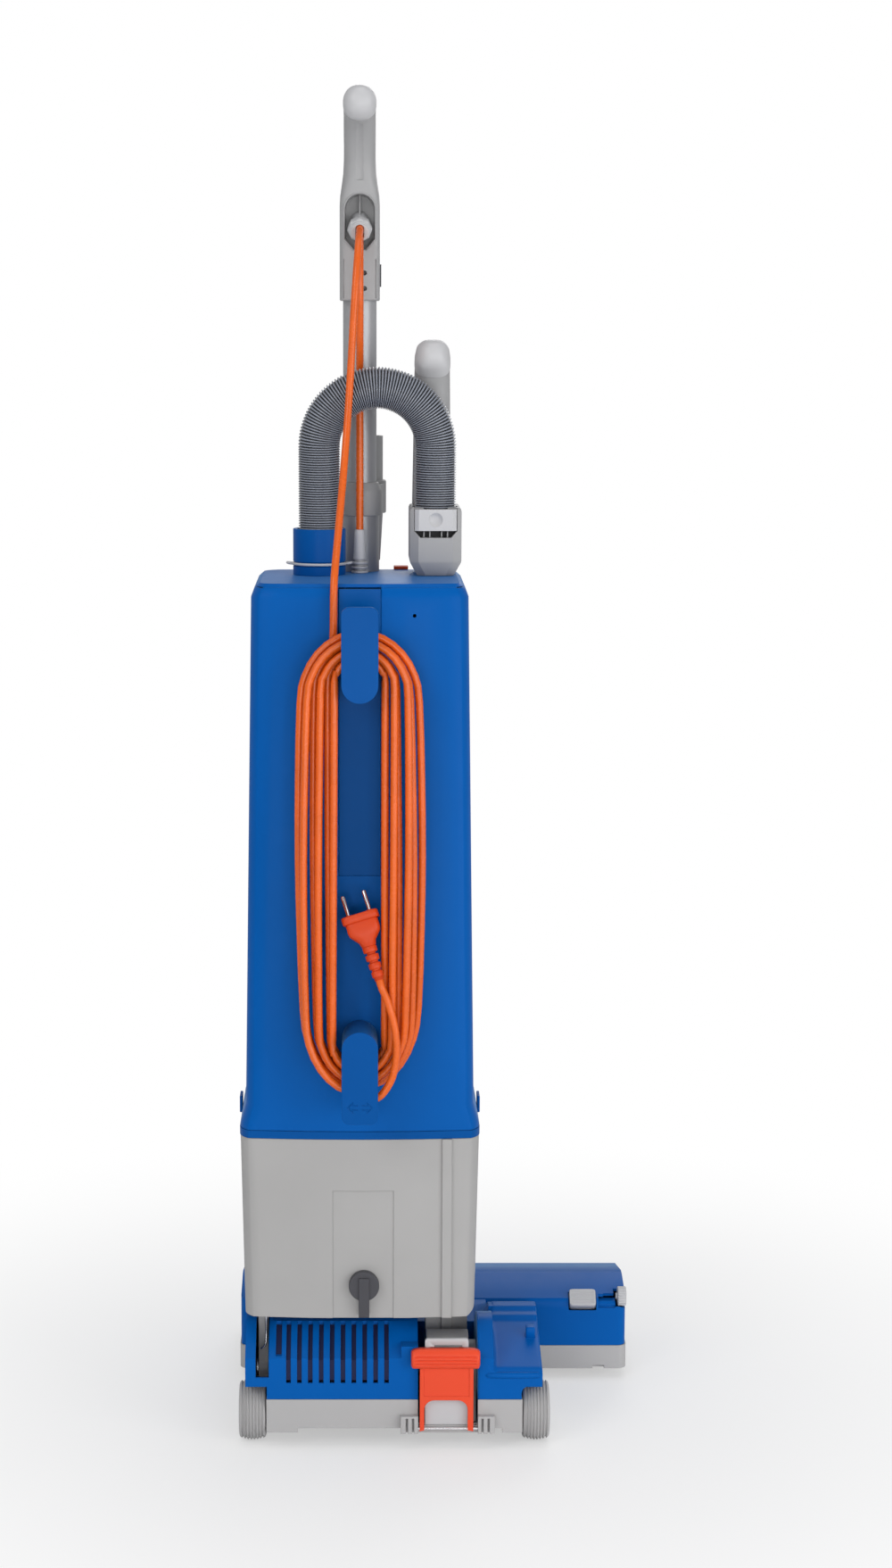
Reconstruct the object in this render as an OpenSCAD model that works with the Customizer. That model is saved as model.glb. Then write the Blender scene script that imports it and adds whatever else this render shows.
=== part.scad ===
// Upright vacuum cleaner for commercial use, seen and held from behind.
// Every module works in machine coordinates: x from the body's centre line, y forward
// from the rear axle, z up from the floor. place() moves them into the part's frame.

/* [Head] */
// Width of the power head over its grey base
head_w = 368; // [330:1:420]
// How far the body stands left of the head's middle
body_offset = 70; // [50:1:75]
// Rear face of the head, behind the rear axle
head_back = 24; // [20:1:26]
// Front of the head, ahead of the rear axle
head_front = 300; // [290:1:330]
// Rear face of the wide brush housing
housing_y = 150; // [145:1:160]
// Underside of the base above the floor
base_z = 10; // [8:1:12]
// Floor thickness of the base
base_floor = 3; // [2:0.5:4]
// Seam between base and cover on the brush housing
housing_seam_z = 33; // [31:1:38]
// Seam between base and cover at the rear
rear_seam_z = 45; // [42:1:48]
// Ridge along the rear top of the brush housing
ridge_z = 79; // [74:1:84]
// Highest line of the brush housing
housing_top_z = 89; // [86:1:96]
// Wall of the moulded covers
cover_wall = 2.5; // [2:0.5:3]
// Clearance between separate mouldings
gap = 0.3; // [0.2:0.05:0.4]

/* [Wheels] */
// Radius of the rear wheels
wheel_r = 27; // [25:0.5:28]
// Width of the rear wheels
wheel_w = 24; // [20:1:26]
// Radius of the rear wheel pins
wheel_pin_r = 4; // [3:0.5:5]
// Radius of the small front rollers
roller_r = 9; // [8:0.5:10]
// Width of the small front rollers
roller_w = 14; // [10:1:18]
// Radius of the front roller pins
roller_pin_r = 2; // [1.5:0.25:2.5]
// Running clearance of a bore on its pin
run_fit = 0.06; // [0.03:0.01:0.09]

/* [Brush drive] */
// Brush axis ahead of the rear axle
brush_y = 258; // [255:1:262]
// Brush axis above the floor
brush_z = 30; // [29:0.5:31]
// Radius over the bristles
bristle_r = 29; // [27:0.5:29]
// Radius of the brush core
brush_core_r = 17; // [15:0.5:19]
// Pitch radius of the brush pulley
brush_pulley_r = 14; // [13:0.5:15]
// Pitch radius of the motor pulley
motor_pulley_r = 9; // [8:0.5:10]
// Thickness of the toothed belt
belt_t = 1.6; // [1.2:0.1:2]
// Radius of the brush motor
brush_motor_r = 32; // [28:1:34]

/* [Tilt pivot] */
// Pivot axis ahead of the rear axle
pivot_y = 20; // [18:1:22]
// Pivot axis above the floor
pivot_z = 60; // [58:1:62]
// Radius of the round rear cover about the pivot
barrel_r = 49.5; // [47:0.5:51]
// Radius of the turning duct drum
drum_r = 33; // [30:1:33]
// Width of the neck duct
neck_w = 38; // [34:1:39]
// Centre of the neck duct right of the body's centre line
neck_x = 79; // [78:0.5:80]
// Rear face of the neck duct's upright part
neck_y = 44; // [44:0.5:46]
// Depth of the neck duct's upright part
neck_d = 30; // [24:1:32]
// Pin radius at the two pivot arms
pivot_pin_r = 6; // [5:0.5:7]
// Middle of the left pivot arm, in from the case's left side
arm_inset = 15.5; // [14.5:0.5:16.5]
// Width of the left pivot arm
arm_w = 9; // [7:0.5:9.5]

/* [Body] */
// Bottom edge of the motor case
case_z = 119; // [118:1:124]
// Top of the motor case
case_top_z = 283; // [276:1:290]
// Width of the case at its bottom
case_w0 = 205; // [200:1:208]
// Width of the case at its top
case_w1 = 212; // [208:1:216]
// Height of the blue rim between case and shell
rim_h = 7; // [5:0.5:9]
// Rear face of the body, behind the rear axle
body_back = 20; // [19:0.5:21]
// Depth of the body at the top
body_d = 170; // [165:1:174]
// Top of the body
body_top_z = 773; // [760:1:780]
// Width of the shell above its skirt
shell_w0 = 202; // [198:1:206]
// Width of the shell at its top
shell_w1 = 187; // [182:1:192]
// Seam between the rear shell and the front cover
seam_y = 80; // [76:1:84]
// Bottom of the shell's fixed top cap
cap_z = 745; // [740:1:748]
// Wall of the case and shells
wall = 3; // [2.5:0.5:3.5]
// Corner radius of the body in plan
corner_r = 22; // [18:1:26]

/* [Cord hooks] */
// Width of the hook plates
hook_w = 31.5; // [29:0.5:33]
// Thickness of the hook plates
hook_t = 5; // [4:0.5:6]
// Height of the upper hook's post above the floor
hook_up_z = 692; // [688:1:696]
// Height of the lower hook's post above the floor
hook_low_z = 376; // [372:1:380]
// Length of a hook plate past its post
hook_reach = 66; // [58:1:70]
// Clear depth between the body and the hook plates
hook_depth = 43.5; // [43.5:0.5:48]
// Radius of the hook posts
post_r = 15.4; // [14:0.2:16]

/* [Handle] */
// Handle tubes ahead of the rear axle
tube_y = 130; // [128:0.5:132]
// Outside radius of the upper tube
tube_r = 15; // [14:0.5:15.5]
// Outside radius of the lower tube
low_tube_r = 17.5; // [17:0.25:18]
// Wall of the handle tubes
tube_wall = 1.5; // [1:0.25:2]
// Bottom of the collar that joins the tubes
collar_z = 823; // [818:1:828]
// Height of the collar
collar_h = 30; // [26:1:34]
// Bottom of the grip's straight base
grip_z = 1014; // [1000:1:1030]
// Height of the grip's straight base
grip_base_h = 92; // [88:1:96]
// Width of the grip's base
grip_w = 35.7; // [34:0.1:38]
// Depth of the grip's base
grip_d = 44; // [40:1:48]
// Radius of the rounded end of the grip
grip_end_r = 15; // [14:0.2:15.6]
// Reach of the grip's end behind the tube
grip_reach = 66; // [60:1:72]
// Height of the grip's end above its base
grip_rise = 77; // [72:1:82]

/* [Hose and wand] */
// Outside diameter of the hose over its ribs
hose_d = 37; // [35:0.5:38]
// Bore of the hose
hose_bore = 29; // [26:0.5:30]
// Depth of the ribs
rib_h = 1.9; // [1:0.1:2.4]
// Hose centre line at the port, left of the body's centre line
port_x = -36; // [-38:0.5:-34]
// Hose centre line at the cuff, in from the shell's right side
cuff_inset = 26.5; // [24.5:0.5:28.5]
// Port and cuff ahead of the rear axle
hose_y = 88; // [86:0.5:90]
// Top of the hose's centre line
hose_top_z = 938; // [925:1:950]
// How far the hose arch leans back
hose_lean = 8; // [6:1:10]
// Number of ribs drawn on the hose
hose_ribs = 98; // [60:1:104]
// Outside diameter of the port
port_d = 46.8; // [46:0.2:48]
// Height of the port above the body
port_h = 41; // [36:1:44]
// Width of the hose cuff
cuff_w = 45.7; // [44:0.1:47]
// Height of the hose cuff
cuff_h = 60; // [56:1:62]
// Outside radius of the wand tube
wand_r = 16; // [15:0.5:17]
// How far the cuff button goes in
button_travel = 3; // [2:0.5:3]

/* [Mains cord] */
// Diameter of the mains cord
cord_d = 6.6; // [6:0.1:6.6]
// Radius of the innermost loop at the posts
wind_in_r = 20.4; // [20.2:0.1:21]
// Widening of the loops from one turn to the next
wind_pitch = 8.5; // [8.5:0.1:8.8]
// Distance between the layers of the winding
wind_layer = 7.2; // [7.2:0.05:7.3]
// Extra half width of the outermost loop halfway down
wind_bulge = 8; // [4:0.5:10]
// Length of the plug's pins
pin_l = 19; // [18:0.5:20]

/* [Hidden] */
$fn = 48;

// Places that follow from the driving sizes
hook_out = body_back + max(hook_depth, 5 * wind_layer + cord_d + 1) + hook_t;
axle_y = -(head_front - hook_out) / 2;
head_x0 = body_offset - head_w / 2;
head_x1 = body_offset + head_w / 2;
rear_x0 = head_x0 + 11.7;
rear_x1 = head_x1 - 91;
base_x0 = head_x0 + 30.4;
base_x1 = head_x1 - 108.5;
base_top = base_z + base_floor;
wheel_left_x = base_x0 - 0.7 - wheel_w / 2;
wheel_right_x = base_x1 + 0.7 + wheel_w / 2;
roller_y = 208;
roller_xs = [head_x0 + 54, head_x1 - 54];
notch_x0 = neck_x - 27;
notch_x1 = neck_x + 26.5;
neck_x0 = neck_x - neck_w / 2;
neck_x1 = neck_x + neck_w / 2;
arm_x = max(head_x0 + 27, arm_inset - case_w0 / 2);
belt_x = min(arm_x - 9, head_x0 + 18);
belt_w = 6;
clip_pin_r = 1.2;
plate_l_x = arm_x + 8;
plate_t = 3;
plate_r_x = notch_x0 - cover_wall - plate_t - 0.5;
case_back = -body_back;
case_front = case_back + body_d + 5;
case_floor = case_z + 9;
rim_z = case_top_z + gap;
shell_z = rim_z + rim_h + gap;
skirt_z = shell_z + 22;
body_front = case_back + body_d;
hinge_y = body_front - 8;
hinge_z = shell_z + 8;
hinge_pin_r = 2;
tube_foot_z = cap_z + 2.3;
hook_clear = max(hook_depth, 5 * wind_layer + cord_d + 1);
post_y1 = -(body_back + hook_clear);
port_top_z = body_top_z + port_h;
port_seat_z = port_top_z - 14;
cuff_z = body_top_z + gap;
cuff_top_z = cuff_z + cuff_h;
cuff_seat_z = cuff_top_z - 12;
wand_y = 116;
cuff_x = shell_w1 / 2 - cuff_inset;
bag_foot = case_top_z + 47;
bag_top = body_top_z - 73;
fan_at = [-28, 0.4 * body_d, case_floor + wall];
fan_r = body_d / 2 - 25;
can_h = case_top_z - case_z - 80;
cord_r = cord_d / 2;
steel = "silver";
blue = "#0056a3";
grey = "#b2b0ad";
mid_grey = "#a5a5a7";
light_grey = "#c8c8cc";
tube_grey = "#8b8c90";
dark = "#3c3c42";
orange = "#f07832";
clip_orange = "#e24a2c";

module place() {
    translate([-body_offset, axle_y, 0]) children();
}

// ---------------------------------------------------------------- helpers

// Solid between two x planes whose outline is given as [y, z] points
module prism_x(x0, x1, points) {
    translate([x0, 0, 0])
        rotate([90, 0, 90])
            linear_extrude(x1 - x0) polygon(points);
}

// Box given by its lowest and highest corners
module block(low, high) {
    translate(low) cube(high - low);
}

// Round bar along x
module bar_x(x0, x1, y, z, r) {
    translate([x0, y, z]) rotate([0, 90, 0]) cylinder(r = r, h = x1 - x0);
}

// Round bar along y
module bar_y(y0, y1, x, z, r) {
    translate([x, y0, z]) rotate([-90, 0, 0]) cylinder(r = r, h = y1 - y0);
}

// Upright slab with rounded corners, centred on x, running forward from y0
module slab(w, y0, d, z, h, r) {
    translate([-w / 2 + r, y0 + r, z])
        linear_extrude(h)
            minkowski_free_rect(w - 2 * r, d - 2 * r, r);
}

// Rounded rectangle from two rectangles and four circles
module minkowski_free_rect(w, d, r) {
    translate([-r, 0]) square([w + 2 * r, d]);
    translate([0, -r]) square([w, d + 2 * r]);
    for (x = [0, w], y = [0, d]) translate([x, y]) circle(r = r, $fn = 32);
}

// Body outline in plan, with a slightly bulged back
module body_outline(w, y0, y1, r) {
    sag = 6;
    back_r = (w * w / 4 + sag * sag) / (2 * sag);
    intersection() {
        translate([-w / 2 + r, y0 + r]) minkowski_free_rect(w - 2 * r, y1 - y0 - 2 * r, r);
        translate([0, y0 + back_r]) circle(r = back_r, $fn = 128);
    }
}

// Thin slice of the body at one height, for hulls
module body_slice(w, y0, y1, r, z) {
    translate([0, 0, z]) linear_extrude(0.01) body_outline(w, y0, y1, r);
}

// Tapered body form between two heights
module body_taper(w0, w1, y0, y1, r, z0, z1) {
    hull() {
        body_slice(w0, y0, y1, r, z0);
        body_slice(w1, y0, y1, r, z1 - 0.01);
    }
}

function unit(v) = v / norm(v);
function mix(a, b, t) = a + (b - a) * t;

// Tangent at point i of a list of points
function tangent(p, i) =
    unit(p[min(i + 1, len(p) - 1)] - p[max(i - 1, 0)]);

// Points on a smooth curve through the chosen points, n steps to a stretch
function smooth(p, n) = [
    for (i = [0 : len(p) - 2], k = [0 : n - 1])
        let (
            a = p[max(i - 1, 0)],
            b = p[i],
            c = p[i + 1],
            d = p[min(i + 2, len(p) - 1)],
            t = k / n
        )
        0.5 * (2 * b + (c - a) * t + (2 * a - 5 * b + 4 * c - d) * t * t
            + (3 * b - a - 3 * c + d) * t * t * t),
    p[len(p) - 1]
];

// One ring of a swept tube, square to the direction t, seen from the side vector
function ring(c, t, side, r, n) =
    let (
        u = unit(cross(t, side)),
        v = cross(t, u)
    )
    [for (k = [0 : n - 1]) c + r * (cos(360 * k / n) * u + sin(360 * k / n) * v)];

// Closed tube through the points; radii may be one number or a list
module sweep(p, r, n, side) {
    m = len(p);
    points = [for (i = [0 : m - 1])
        each ring(p[i], tangent(p, i), side, is_list(r) ? r[i] : r, n)];
    faces = concat(
        [for (i = [0 : m - 2], k = [0 : n - 1])
            let (a = i * n + k, b = i * n + (k + 1) % n)
            [a, b + n, b]],
        [for (i = [0 : m - 2], k = [0 : n - 1])
            let (a = i * n + k, b = i * n + (k + 1) % n)
            [a, a + n, b + n]],
        [for (k = [1 : n - 2]) [0, k, k + 1]],
        [for (k = [1 : n - 2]) [(m - 1) * n, (m - 1) * n + k + 1, (m - 1) * n + k]]
    );
    polyhedron(points, faces, convexity = 10);
}

// ---------------------------------------------------------------- power head

// Side outline of the brush housing's cover, as [y, z] points
function housing_outline(t) = [
    [housing_y + t, housing_seam_z - (t > 0 ? 1 : 0)],
    [housing_y + t, ridge_z - 3 - t * 0.6],
    [housing_y + 2 + t, ridge_z - t * 0.9],
    [housing_y + 46, housing_top_z - t],
    [housing_y + 56, housing_top_z - t],
    [housing_y + 78, housing_top_z - 5 - t],
    [head_front - 30, housing_top_z - 14 - t * 1.1],
    [head_front - 12 - t * 0.7, housing_top_z - 27 - t * 0.8],
    [head_front - 2 - t, housing_top_z - 46 - t * 0.4],
    [head_front - t, housing_seam_z - (t > 0 ? 1 : 0)]
];

// Side outline of the rear cover, rounded about the tilt pivot
function rear_outline(t) = [
    [-head_back + t, rear_seam_z - (t > 0 ? 1 : 0)],
    [-head_back + t, pivot_z + barrel_r - 26.5 - t],
    [pivot_y - 14 + t * 0.5, pivot_z + barrel_r - 2 - t],
    [pivot_y, pivot_z + barrel_r - t],
    [pivot_y + 16 - t * 0.4, pivot_z + barrel_r - 3 - t],
    [pivot_y + 32 - t * 0.8, pivot_z + barrel_r - 13 - t],
    [pivot_y + 60, ridge_z + 2 - t],
    [housing_y + 6, ridge_z - 1 - t],
    [housing_y + 6, rear_seam_z - (t > 0 ? 1 : 0)]
];

// Side outline of the raised block over the right wheel
function block_outline(t) = [
    [-head_back + t, rear_seam_z - (t > 0 ? 1 : 0)],
    [-head_back + t, ridge_z - 11 - t],
    [-head_back + 4 + t * 0.5, ridge_z - 7 - t],
    [64, ridge_z + 10 - t],
    [66, ridge_z + 13 - t],
    [78, ridge_z + 14 - t],
    [80, ridge_z + 17 - t],
    [92, ridge_z + 17 - t],
    [132, ridge_z + 2 - t],
    [132, rear_seam_z - (t > 0 ? 1 : 0)]
];

// Ring-shaped space that the neck and its clip sweep through
module neck_notch(z0) {
    block([notch_x0, -head_back - 1, z0], [notch_x1, neck_y + neck_d + 4, 130]);
}

module head_base() {
    color(mid_grey) place() difference() {
        union() {
            // rear tray between the wheels
            block([base_x0, -head_back, base_z], [base_x1, housing_y, rear_seam_z - gap]);
            // wider side pieces ahead of the wheels
            block([rear_x0, wheel_r + 6, base_z], [rear_x1, housing_y, rear_seam_z - gap]);
            // front tray
            translate([head_x0 + 8, housing_y + 8, base_z])
                linear_extrude(housing_seam_z - gap - base_z)
                    minkowski_free_rect(head_w - 16, head_front - housing_y - 16, 8);
            // feet of the clip hinge, ribbed
            for (x = [notch_x0 - 15.5, notch_x1 - 4])
                block([x, -head_back - 6, base_z + 5], [x + 19, -head_back + 2, base_z + 21]);
            // lugs that hold the front roller pins
            for (x = roller_xs, s = [-1, 1])
                block([x + s * (roller_w / 2 + 3.5) - 2, roller_y - 5, roller_r - 3.5],
                    [x + s * (roller_w / 2 + 3.5) + 2, roller_y + 5, base_top]);
        }
        // hollow rear tray
        block([base_x0 + cover_wall, -head_back + cover_wall, base_top],
            [base_x1 - cover_wall, housing_y + cover_wall, rear_seam_z + 1]);
        block([rear_x0 + cover_wall, wheel_r + 6 + cover_wall, base_top],
            [rear_x1 - cover_wall, housing_y + cover_wall, rear_seam_z + 1]);
        // hollow front tray
        translate([head_x0 + 8, housing_y + 8, base_top])
            linear_extrude(40)
                minkowski_free_rect(head_w - 16, head_front - housing_y - 16, 8 - cover_wall);
        // way for the neck and its clip at the rear
        block([notch_x0, -head_back - 7, base_z + 11], [notch_x1, -head_back + 10, 60]);
        block([notch_x0, -head_back - 7, base_z - 1], [notch_x1, -head_back, base_z + 12]);
        // lower edge of the tray steps up between the wheel sides and the clip
        block([base_x0 + 28, -head_back - 1, base_z - 1], [notch_x0 - 15.5, 6, base_z + 8]);
        block([notch_x1 + 15, -head_back - 1, base_z - 1], [base_x1 - 18, 6, base_z + 8]);
        block([base_x0 - 1, -head_back - 1, base_z - 1], [base_x1 + 1, 2, base_z + 4]);
        // grooves between the ribs of the feet
        for (x = [notch_x0 - 11, notch_x0 - 5.5, notch_x1 + 3, notch_x1 + 8.5])
            block([x, -head_back - 7, base_z + 4], [x + 2, -head_back - 1, base_z + 19]);
        // seats of the clip's pin
        bar_x(notch_x0 - 2, notch_x1 + 2, -head_back - 3.5, base_z + 9, clip_pin_r);
        // brush opening
        block([head_x0 + 24, brush_y - bristle_r - 2, base_z - 1],
            [head_x1 - 26, brush_y + bristle_r + 2, base_top + 1]);
        // roller pockets
        for (x = roller_xs)
            block([x - roller_w / 2 - 1.5, roller_y - roller_r - 2, base_z - 1],
                [x + roller_w / 2 + 1.5, roller_y + roller_r + 2, base_top + 1]);
        // bores for the roller pins
        for (x = roller_xs)
            bar_x(x - roller_w / 2 - 5, x + roller_w / 2 + 5, roller_y, roller_r, roller_pin_r);
        // bores for the rear wheel pins
        bar_x(base_x0 - 1, base_x0 + 40, 0, wheel_r, wheel_pin_r);
        bar_x(base_x1 - 40, base_x1 + 1, 0, wheel_r, wheel_pin_r);
        // small notch in the lower rear edge
        block([head_x1 - 32, housing_y - 1, base_z - 1], [head_x1 - 21, housing_y + 5, base_z + 3]);
    }
    // bosses that hold the wheel pins, and the brush chamber
    color(mid_grey) place() {
        for (x = [base_x0 + cover_wall, base_x1 - cover_wall - 10])
            difference() {
                block([x, -11, base_top], [x + 10, 11, wheel_r + 9]);
                bar_x(x - 1, x + 11, 0, wheel_r, wheel_pin_r);
            }
        difference() {
            bar_x(belt_x + belt_w / 2 + 1, head_x1 - 22, brush_y, brush_z, bristle_r + 5);
            bar_x(head_x0, head_x1 - 21, brush_y, brush_z, bristle_r + 2.5);
            block([head_x0, 0, -20], [head_x1, head_front, base_top]);
            block([neck_x + 21, brush_y - 40, base_top],
                [neck_x + 39, brush_y - 8, base_top + 26]);
            // front wall of the tray stays clear
            block([head_x0, head_front - cover_wall, 0], [head_x1, head_front + 9, 90]);
        }
    }
}

module head_cover() {
    vents = 10;
    color(blue) place() difference() {
        union() {
            intersection() {
                prism_x(head_x0 + 1, head_x1 - 1, housing_outline(0));
                translate([head_x0 + 9, housing_y + 8, 0])
                    linear_extrude(150)
                        minkowski_free_rect(head_w - 18, head_front - housing_y - 16, 8);
            }
            prism_x(rear_x0, notch_x1 + 14, rear_outline(0));
            prism_x(notch_x1 + 13.5, rear_x1, block_outline(0));
            // raised edge beside the neck
            block([notch_x0 - 15, -head_back, rear_seam_z], [notch_x0, 4, pivot_z + 34]);
        }
        // hollow inside
        intersection() {
            prism_x(head_x0, head_x1, housing_outline(cover_wall));
            translate([head_x0 + 9, housing_y + 8, 0])
                linear_extrude(150)
                    minkowski_free_rect(head_w - 18, head_front - housing_y - 16, 8 - cover_wall);
        }
        prism_x(rear_x0 + cover_wall, notch_x0 - cover_wall, rear_outline(cover_wall));
        prism_x(notch_x1 + cover_wall, notch_x1 + 12, rear_outline(cover_wall));
        prism_x(notch_x1 + 11, rear_x1 - cover_wall, block_outline(cover_wall));
        prism_x(notch_x0 - 3, notch_x1 + 3, [[neck_y + neck_d + 8, 30], [neck_y + neck_d + 8, 75],
            [housing_y + 20, 74], [housing_y + 20, 30]]);
        block([notch_x0 - 12.5, -head_back + cover_wall, rear_seam_z - 1],
            [notch_x0 - cover_wall, 4, pivot_z + 31]);
        // open way between rear part and brush housing
        block([rear_x0 + cover_wall, housing_y - 10, 20],
            [rear_x1 - cover_wall, housing_y + 12, ridge_z - 8]);
        // cooling slots over the brush motor
        for (i = [0 : vents - 1])
            translate([-63.7 + 9.73 * i - 2.05, -head_back - 1, pivot_z])
                cube([4.1, head_back + 7, barrel_r + 2]);
        translate([-72.4 - 2.6, -head_back + 1, pivot_z + barrel_r - 25]) cube([5.2, head_back + 5, 30]);
        // window for the left arm
        block([arm_x - 6, -head_back - 1, pivot_z + 5], [arm_x + 5.7, pivot_y + 12, pivot_z + 60]);
        // way for the neck and its clip
        neck_notch(20);
        // wheel arches
        for (x = [rear_x0 - 1, base_x1 - 1])
            block([x, -head_back - 1, 0],
                [x + (x < 0 ? base_x0 - rear_x0 + 1.5 : 30), wheel_r + 4, 2 * wheel_r + 2.5]);
        // seats of the button and the knob on the ridge
        brush_button_form(gap, 4);
        bar_x(head_x1 - 12, head_x1 + 5, housing_y + 8, ridge_z, 11);
        bar_x(head_x1 - 22, head_x1 - 8, housing_y + 8, ridge_z, 2.5 + gap);
        // slots that let the cover drop over the pivot pins
        block([notch_x0 - 4, pivot_y - pivot_pin_r - gap, 20],
            [notch_x0 + 1, pivot_y + pivot_pin_r + gap, pivot_z]);
        bar_x(notch_x0 - 4, notch_x0 + 1, pivot_y, pivot_z, pivot_pin_r + gap);
        block([head_x1 - 27, housing_y - 2, ridge_z - 9], [head_x1 - 11, housing_y + 9, ridge_z + 8]);
    }
}

// Grooved, slightly barrel-shaped wheel about the x axis
module wheel(x) {
    n = 6;
    edge_r = wheel_r - 2.6;
    color(mid_grey) place() translate([x, 0, wheel_r]) rotate([0, 90, 0])
        rotate_extrude($fn = 64)
            polygon(concat(
                [[wheel_pin_r + run_fit, -wheel_w / 2], [edge_r - 1, -wheel_w / 2]],
                [for (i = [0 : n], s = [-1, 1])
                    let (
                        z = (i / n - 0.5) * (wheel_w - 3) + s * 0.6,
                        crown = wheel_r - 10.4 * z * z / (wheel_w * wheel_w)
                    )
                    each s < 0 ? [[crown - 0.8, z]] : [[crown, z], [crown, z + (wheel_w - 3) / n - 1.9]]],
                [[edge_r - 1, wheel_w / 2], [wheel_pin_r + run_fit, wheel_w / 2]]
            ));
}

module wheel_left() { wheel(wheel_left_x); }
module wheel_right() { wheel(wheel_right_x); }

module rear_axle_pins() {
    color(steel) place() {
        for (s = [-1, 1]) {
            inner = s < 0 ? base_x0 + 12 : base_x1 - 12;
            outer = s < 0 ? wheel_left_x - wheel_w / 2 : wheel_right_x + wheel_w / 2;
            bar_x(min(inner, outer), max(inner, outer), 0, wheel_r, wheel_pin_r);
        }
    }
}

module roller(x) {
    color(dark) place() difference() {
        bar_x(x - roller_w / 2, x + roller_w / 2, roller_y, roller_r, roller_r);
        bar_x(x - roller_w, x + roller_w, roller_y, roller_r, roller_pin_r + run_fit);
    }
}

module front_roller_left() { roller(roller_xs[0]); }
module front_roller_right() { roller(roller_xs[1]); }

module front_roller_pins() {
    color(steel) place()
        for (x = roller_xs)
            bar_x(x - roller_w / 2 - 5, x + roller_w / 2 + 5, roller_y, roller_r, roller_pin_r);
}

// Brush core with its shaft ends, left pulley and right bearing end
module brush_core() {
    color(dark) place() {
        bar_x(head_x0 + 27, head_x1 - 30, brush_y, brush_z, brush_core_r);
        bar_x(belt_x - belt_w / 2 - 0.5, head_x0 + 28, brush_y, brush_z, brush_pulley_r);
        bar_x(head_x1 - 31, head_x1 - 14, brush_y, brush_z, 5);
    }
}

// Two rows of bristle tufts winding round the core
module bristles() {
    tufts = 26;
    step = (head_w - 70) / (tufts - 1);
    color("#25262b") place()
        for (i = [0 : tufts - 1], s = [0, 180])
            translate([head_x0 + 36 + i * step, brush_y, brush_z])
                rotate([s + abs(i - tufts / 2) * 9, 0, 0])
                    translate([0, 0, brush_core_r])
                        cylinder(r = 3, h = bristle_r - brush_core_r, $fn = 6);
}

module brush_bearing() {
    color(tube_grey) place() difference() {
        block([head_x1 - 20, brush_y - 14, base_top], [head_x1 - 10, brush_y + 14, brush_z + 14]);
        bar_x(head_x1 - 21, head_x1 - 9, brush_y, brush_z, 5 + run_fit);
    }
}

module brush_motor() {
    color(dark) place() {
        bar_x(plate_l_x + plate_t + 14, plate_r_x, pivot_y, pivot_z, brush_motor_r);
        bar_x(plate_l_x + plate_t, plate_l_x + plate_t + 14, pivot_y, pivot_z, 7);
    }
}

module motor_shaft() {
    color(steel) place() {
        bar_x(belt_x - belt_w / 2 - 0.5, belt_x + belt_w / 2 + 1, pivot_y, pivot_z, motor_pulley_r);
        bar_x(belt_x, plate_l_x + plate_t - gap, pivot_y, pivot_z, 3);
    }
}

// Belt round both pulleys, a fixed stand-in for the running belt
module drive_belt() {
    dy = brush_y - pivot_y;
    dz = brush_z - pivot_z;
    big = brush_pulley_r + gap;
    small = motor_pulley_r + gap;
    color("#202024") place() difference() {
        hull() {
            bar_x(belt_x - belt_w / 2, belt_x + belt_w / 2, pivot_y, pivot_z, small + belt_t);
            bar_x(belt_x - belt_w / 2, belt_x + belt_w / 2, brush_y, brush_z, big + belt_t);
        }
        hull() {
            bar_x(belt_x - belt_w, belt_x + belt_w, pivot_y, pivot_z, small);
            bar_x(belt_x - belt_w, belt_x + belt_w, pivot_y + dy, pivot_z + dz, big);
        }
    }
}

// Two plates that carry the motor and the pivot pins, joined by a foot
module pivot_bracket() {
    color(steel) place() {
        for (x = [plate_l_x, plate_r_x])
            difference() {
                block([x, pivot_y - 6, base_top], [x + plate_t, pivot_y + 22, pivot_z + 10]);
                bar_x(x - 1, x + plate_t + 1, pivot_y, pivot_z, 4);
            }
        block([plate_l_x, pivot_y - 6, base_top], [plate_r_x + plate_t, pivot_y + 22, base_top + 3]);
        difference() {
            bar_x(arm_x - arm_w / 2 - 0.2, plate_l_x, pivot_y, pivot_z, pivot_pin_r);
            bar_x(arm_x - arm_w, plate_l_x + 1, pivot_y, pivot_z, 4);
        }
        bar_x(plate_r_x + plate_t - 1, neck_x0 + 8, pivot_y, pivot_z, pivot_pin_r);
        bar_x(plate_r_x, plate_r_x + plate_t, pivot_y, pivot_z, 4.5);
    }
}

// Torsion spring that balances the body, with one leg on the arm
module tilt_spring() {
    turns = 4;
    coil_r = 10.5;
    wire_r = 1.1;
    x0 = plate_l_x + plate_t + 1.5;
    coil = [for (i = [0 : turns * 8])
        [x0 + i * 11 / (turns * 8), pivot_y - coil_r * sin(i * 45), pivot_z - coil_r * cos(i * 45)]];
    leg_in = [[x0, pivot_y + 30, pivot_z - coil_r]];
    leg_out = [[x0 + 11, pivot_y + 30, pivot_z - coil_r]];
    color(steel) place() sweep(concat(leg_in, coil, leg_out), wire_r, 6, [1, 0.01, 0]);
}

module neck_backplate() {
    color(light_grey) place() {
        block([neck_x0 - 2, -head_back, base_z + 11], [neck_x1 - 1, -head_back + 4.5, pivot_z + 29]);
        translate([0, -head_back + 4.5, pivot_z + 35.2]) rotate([90, 0, 0]) linear_extrude(4.5)
            translate([neck_x0 + 1, -3]) minkowski_free_rect(neck_w - 5, 6, 3);
    }
}

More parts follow.
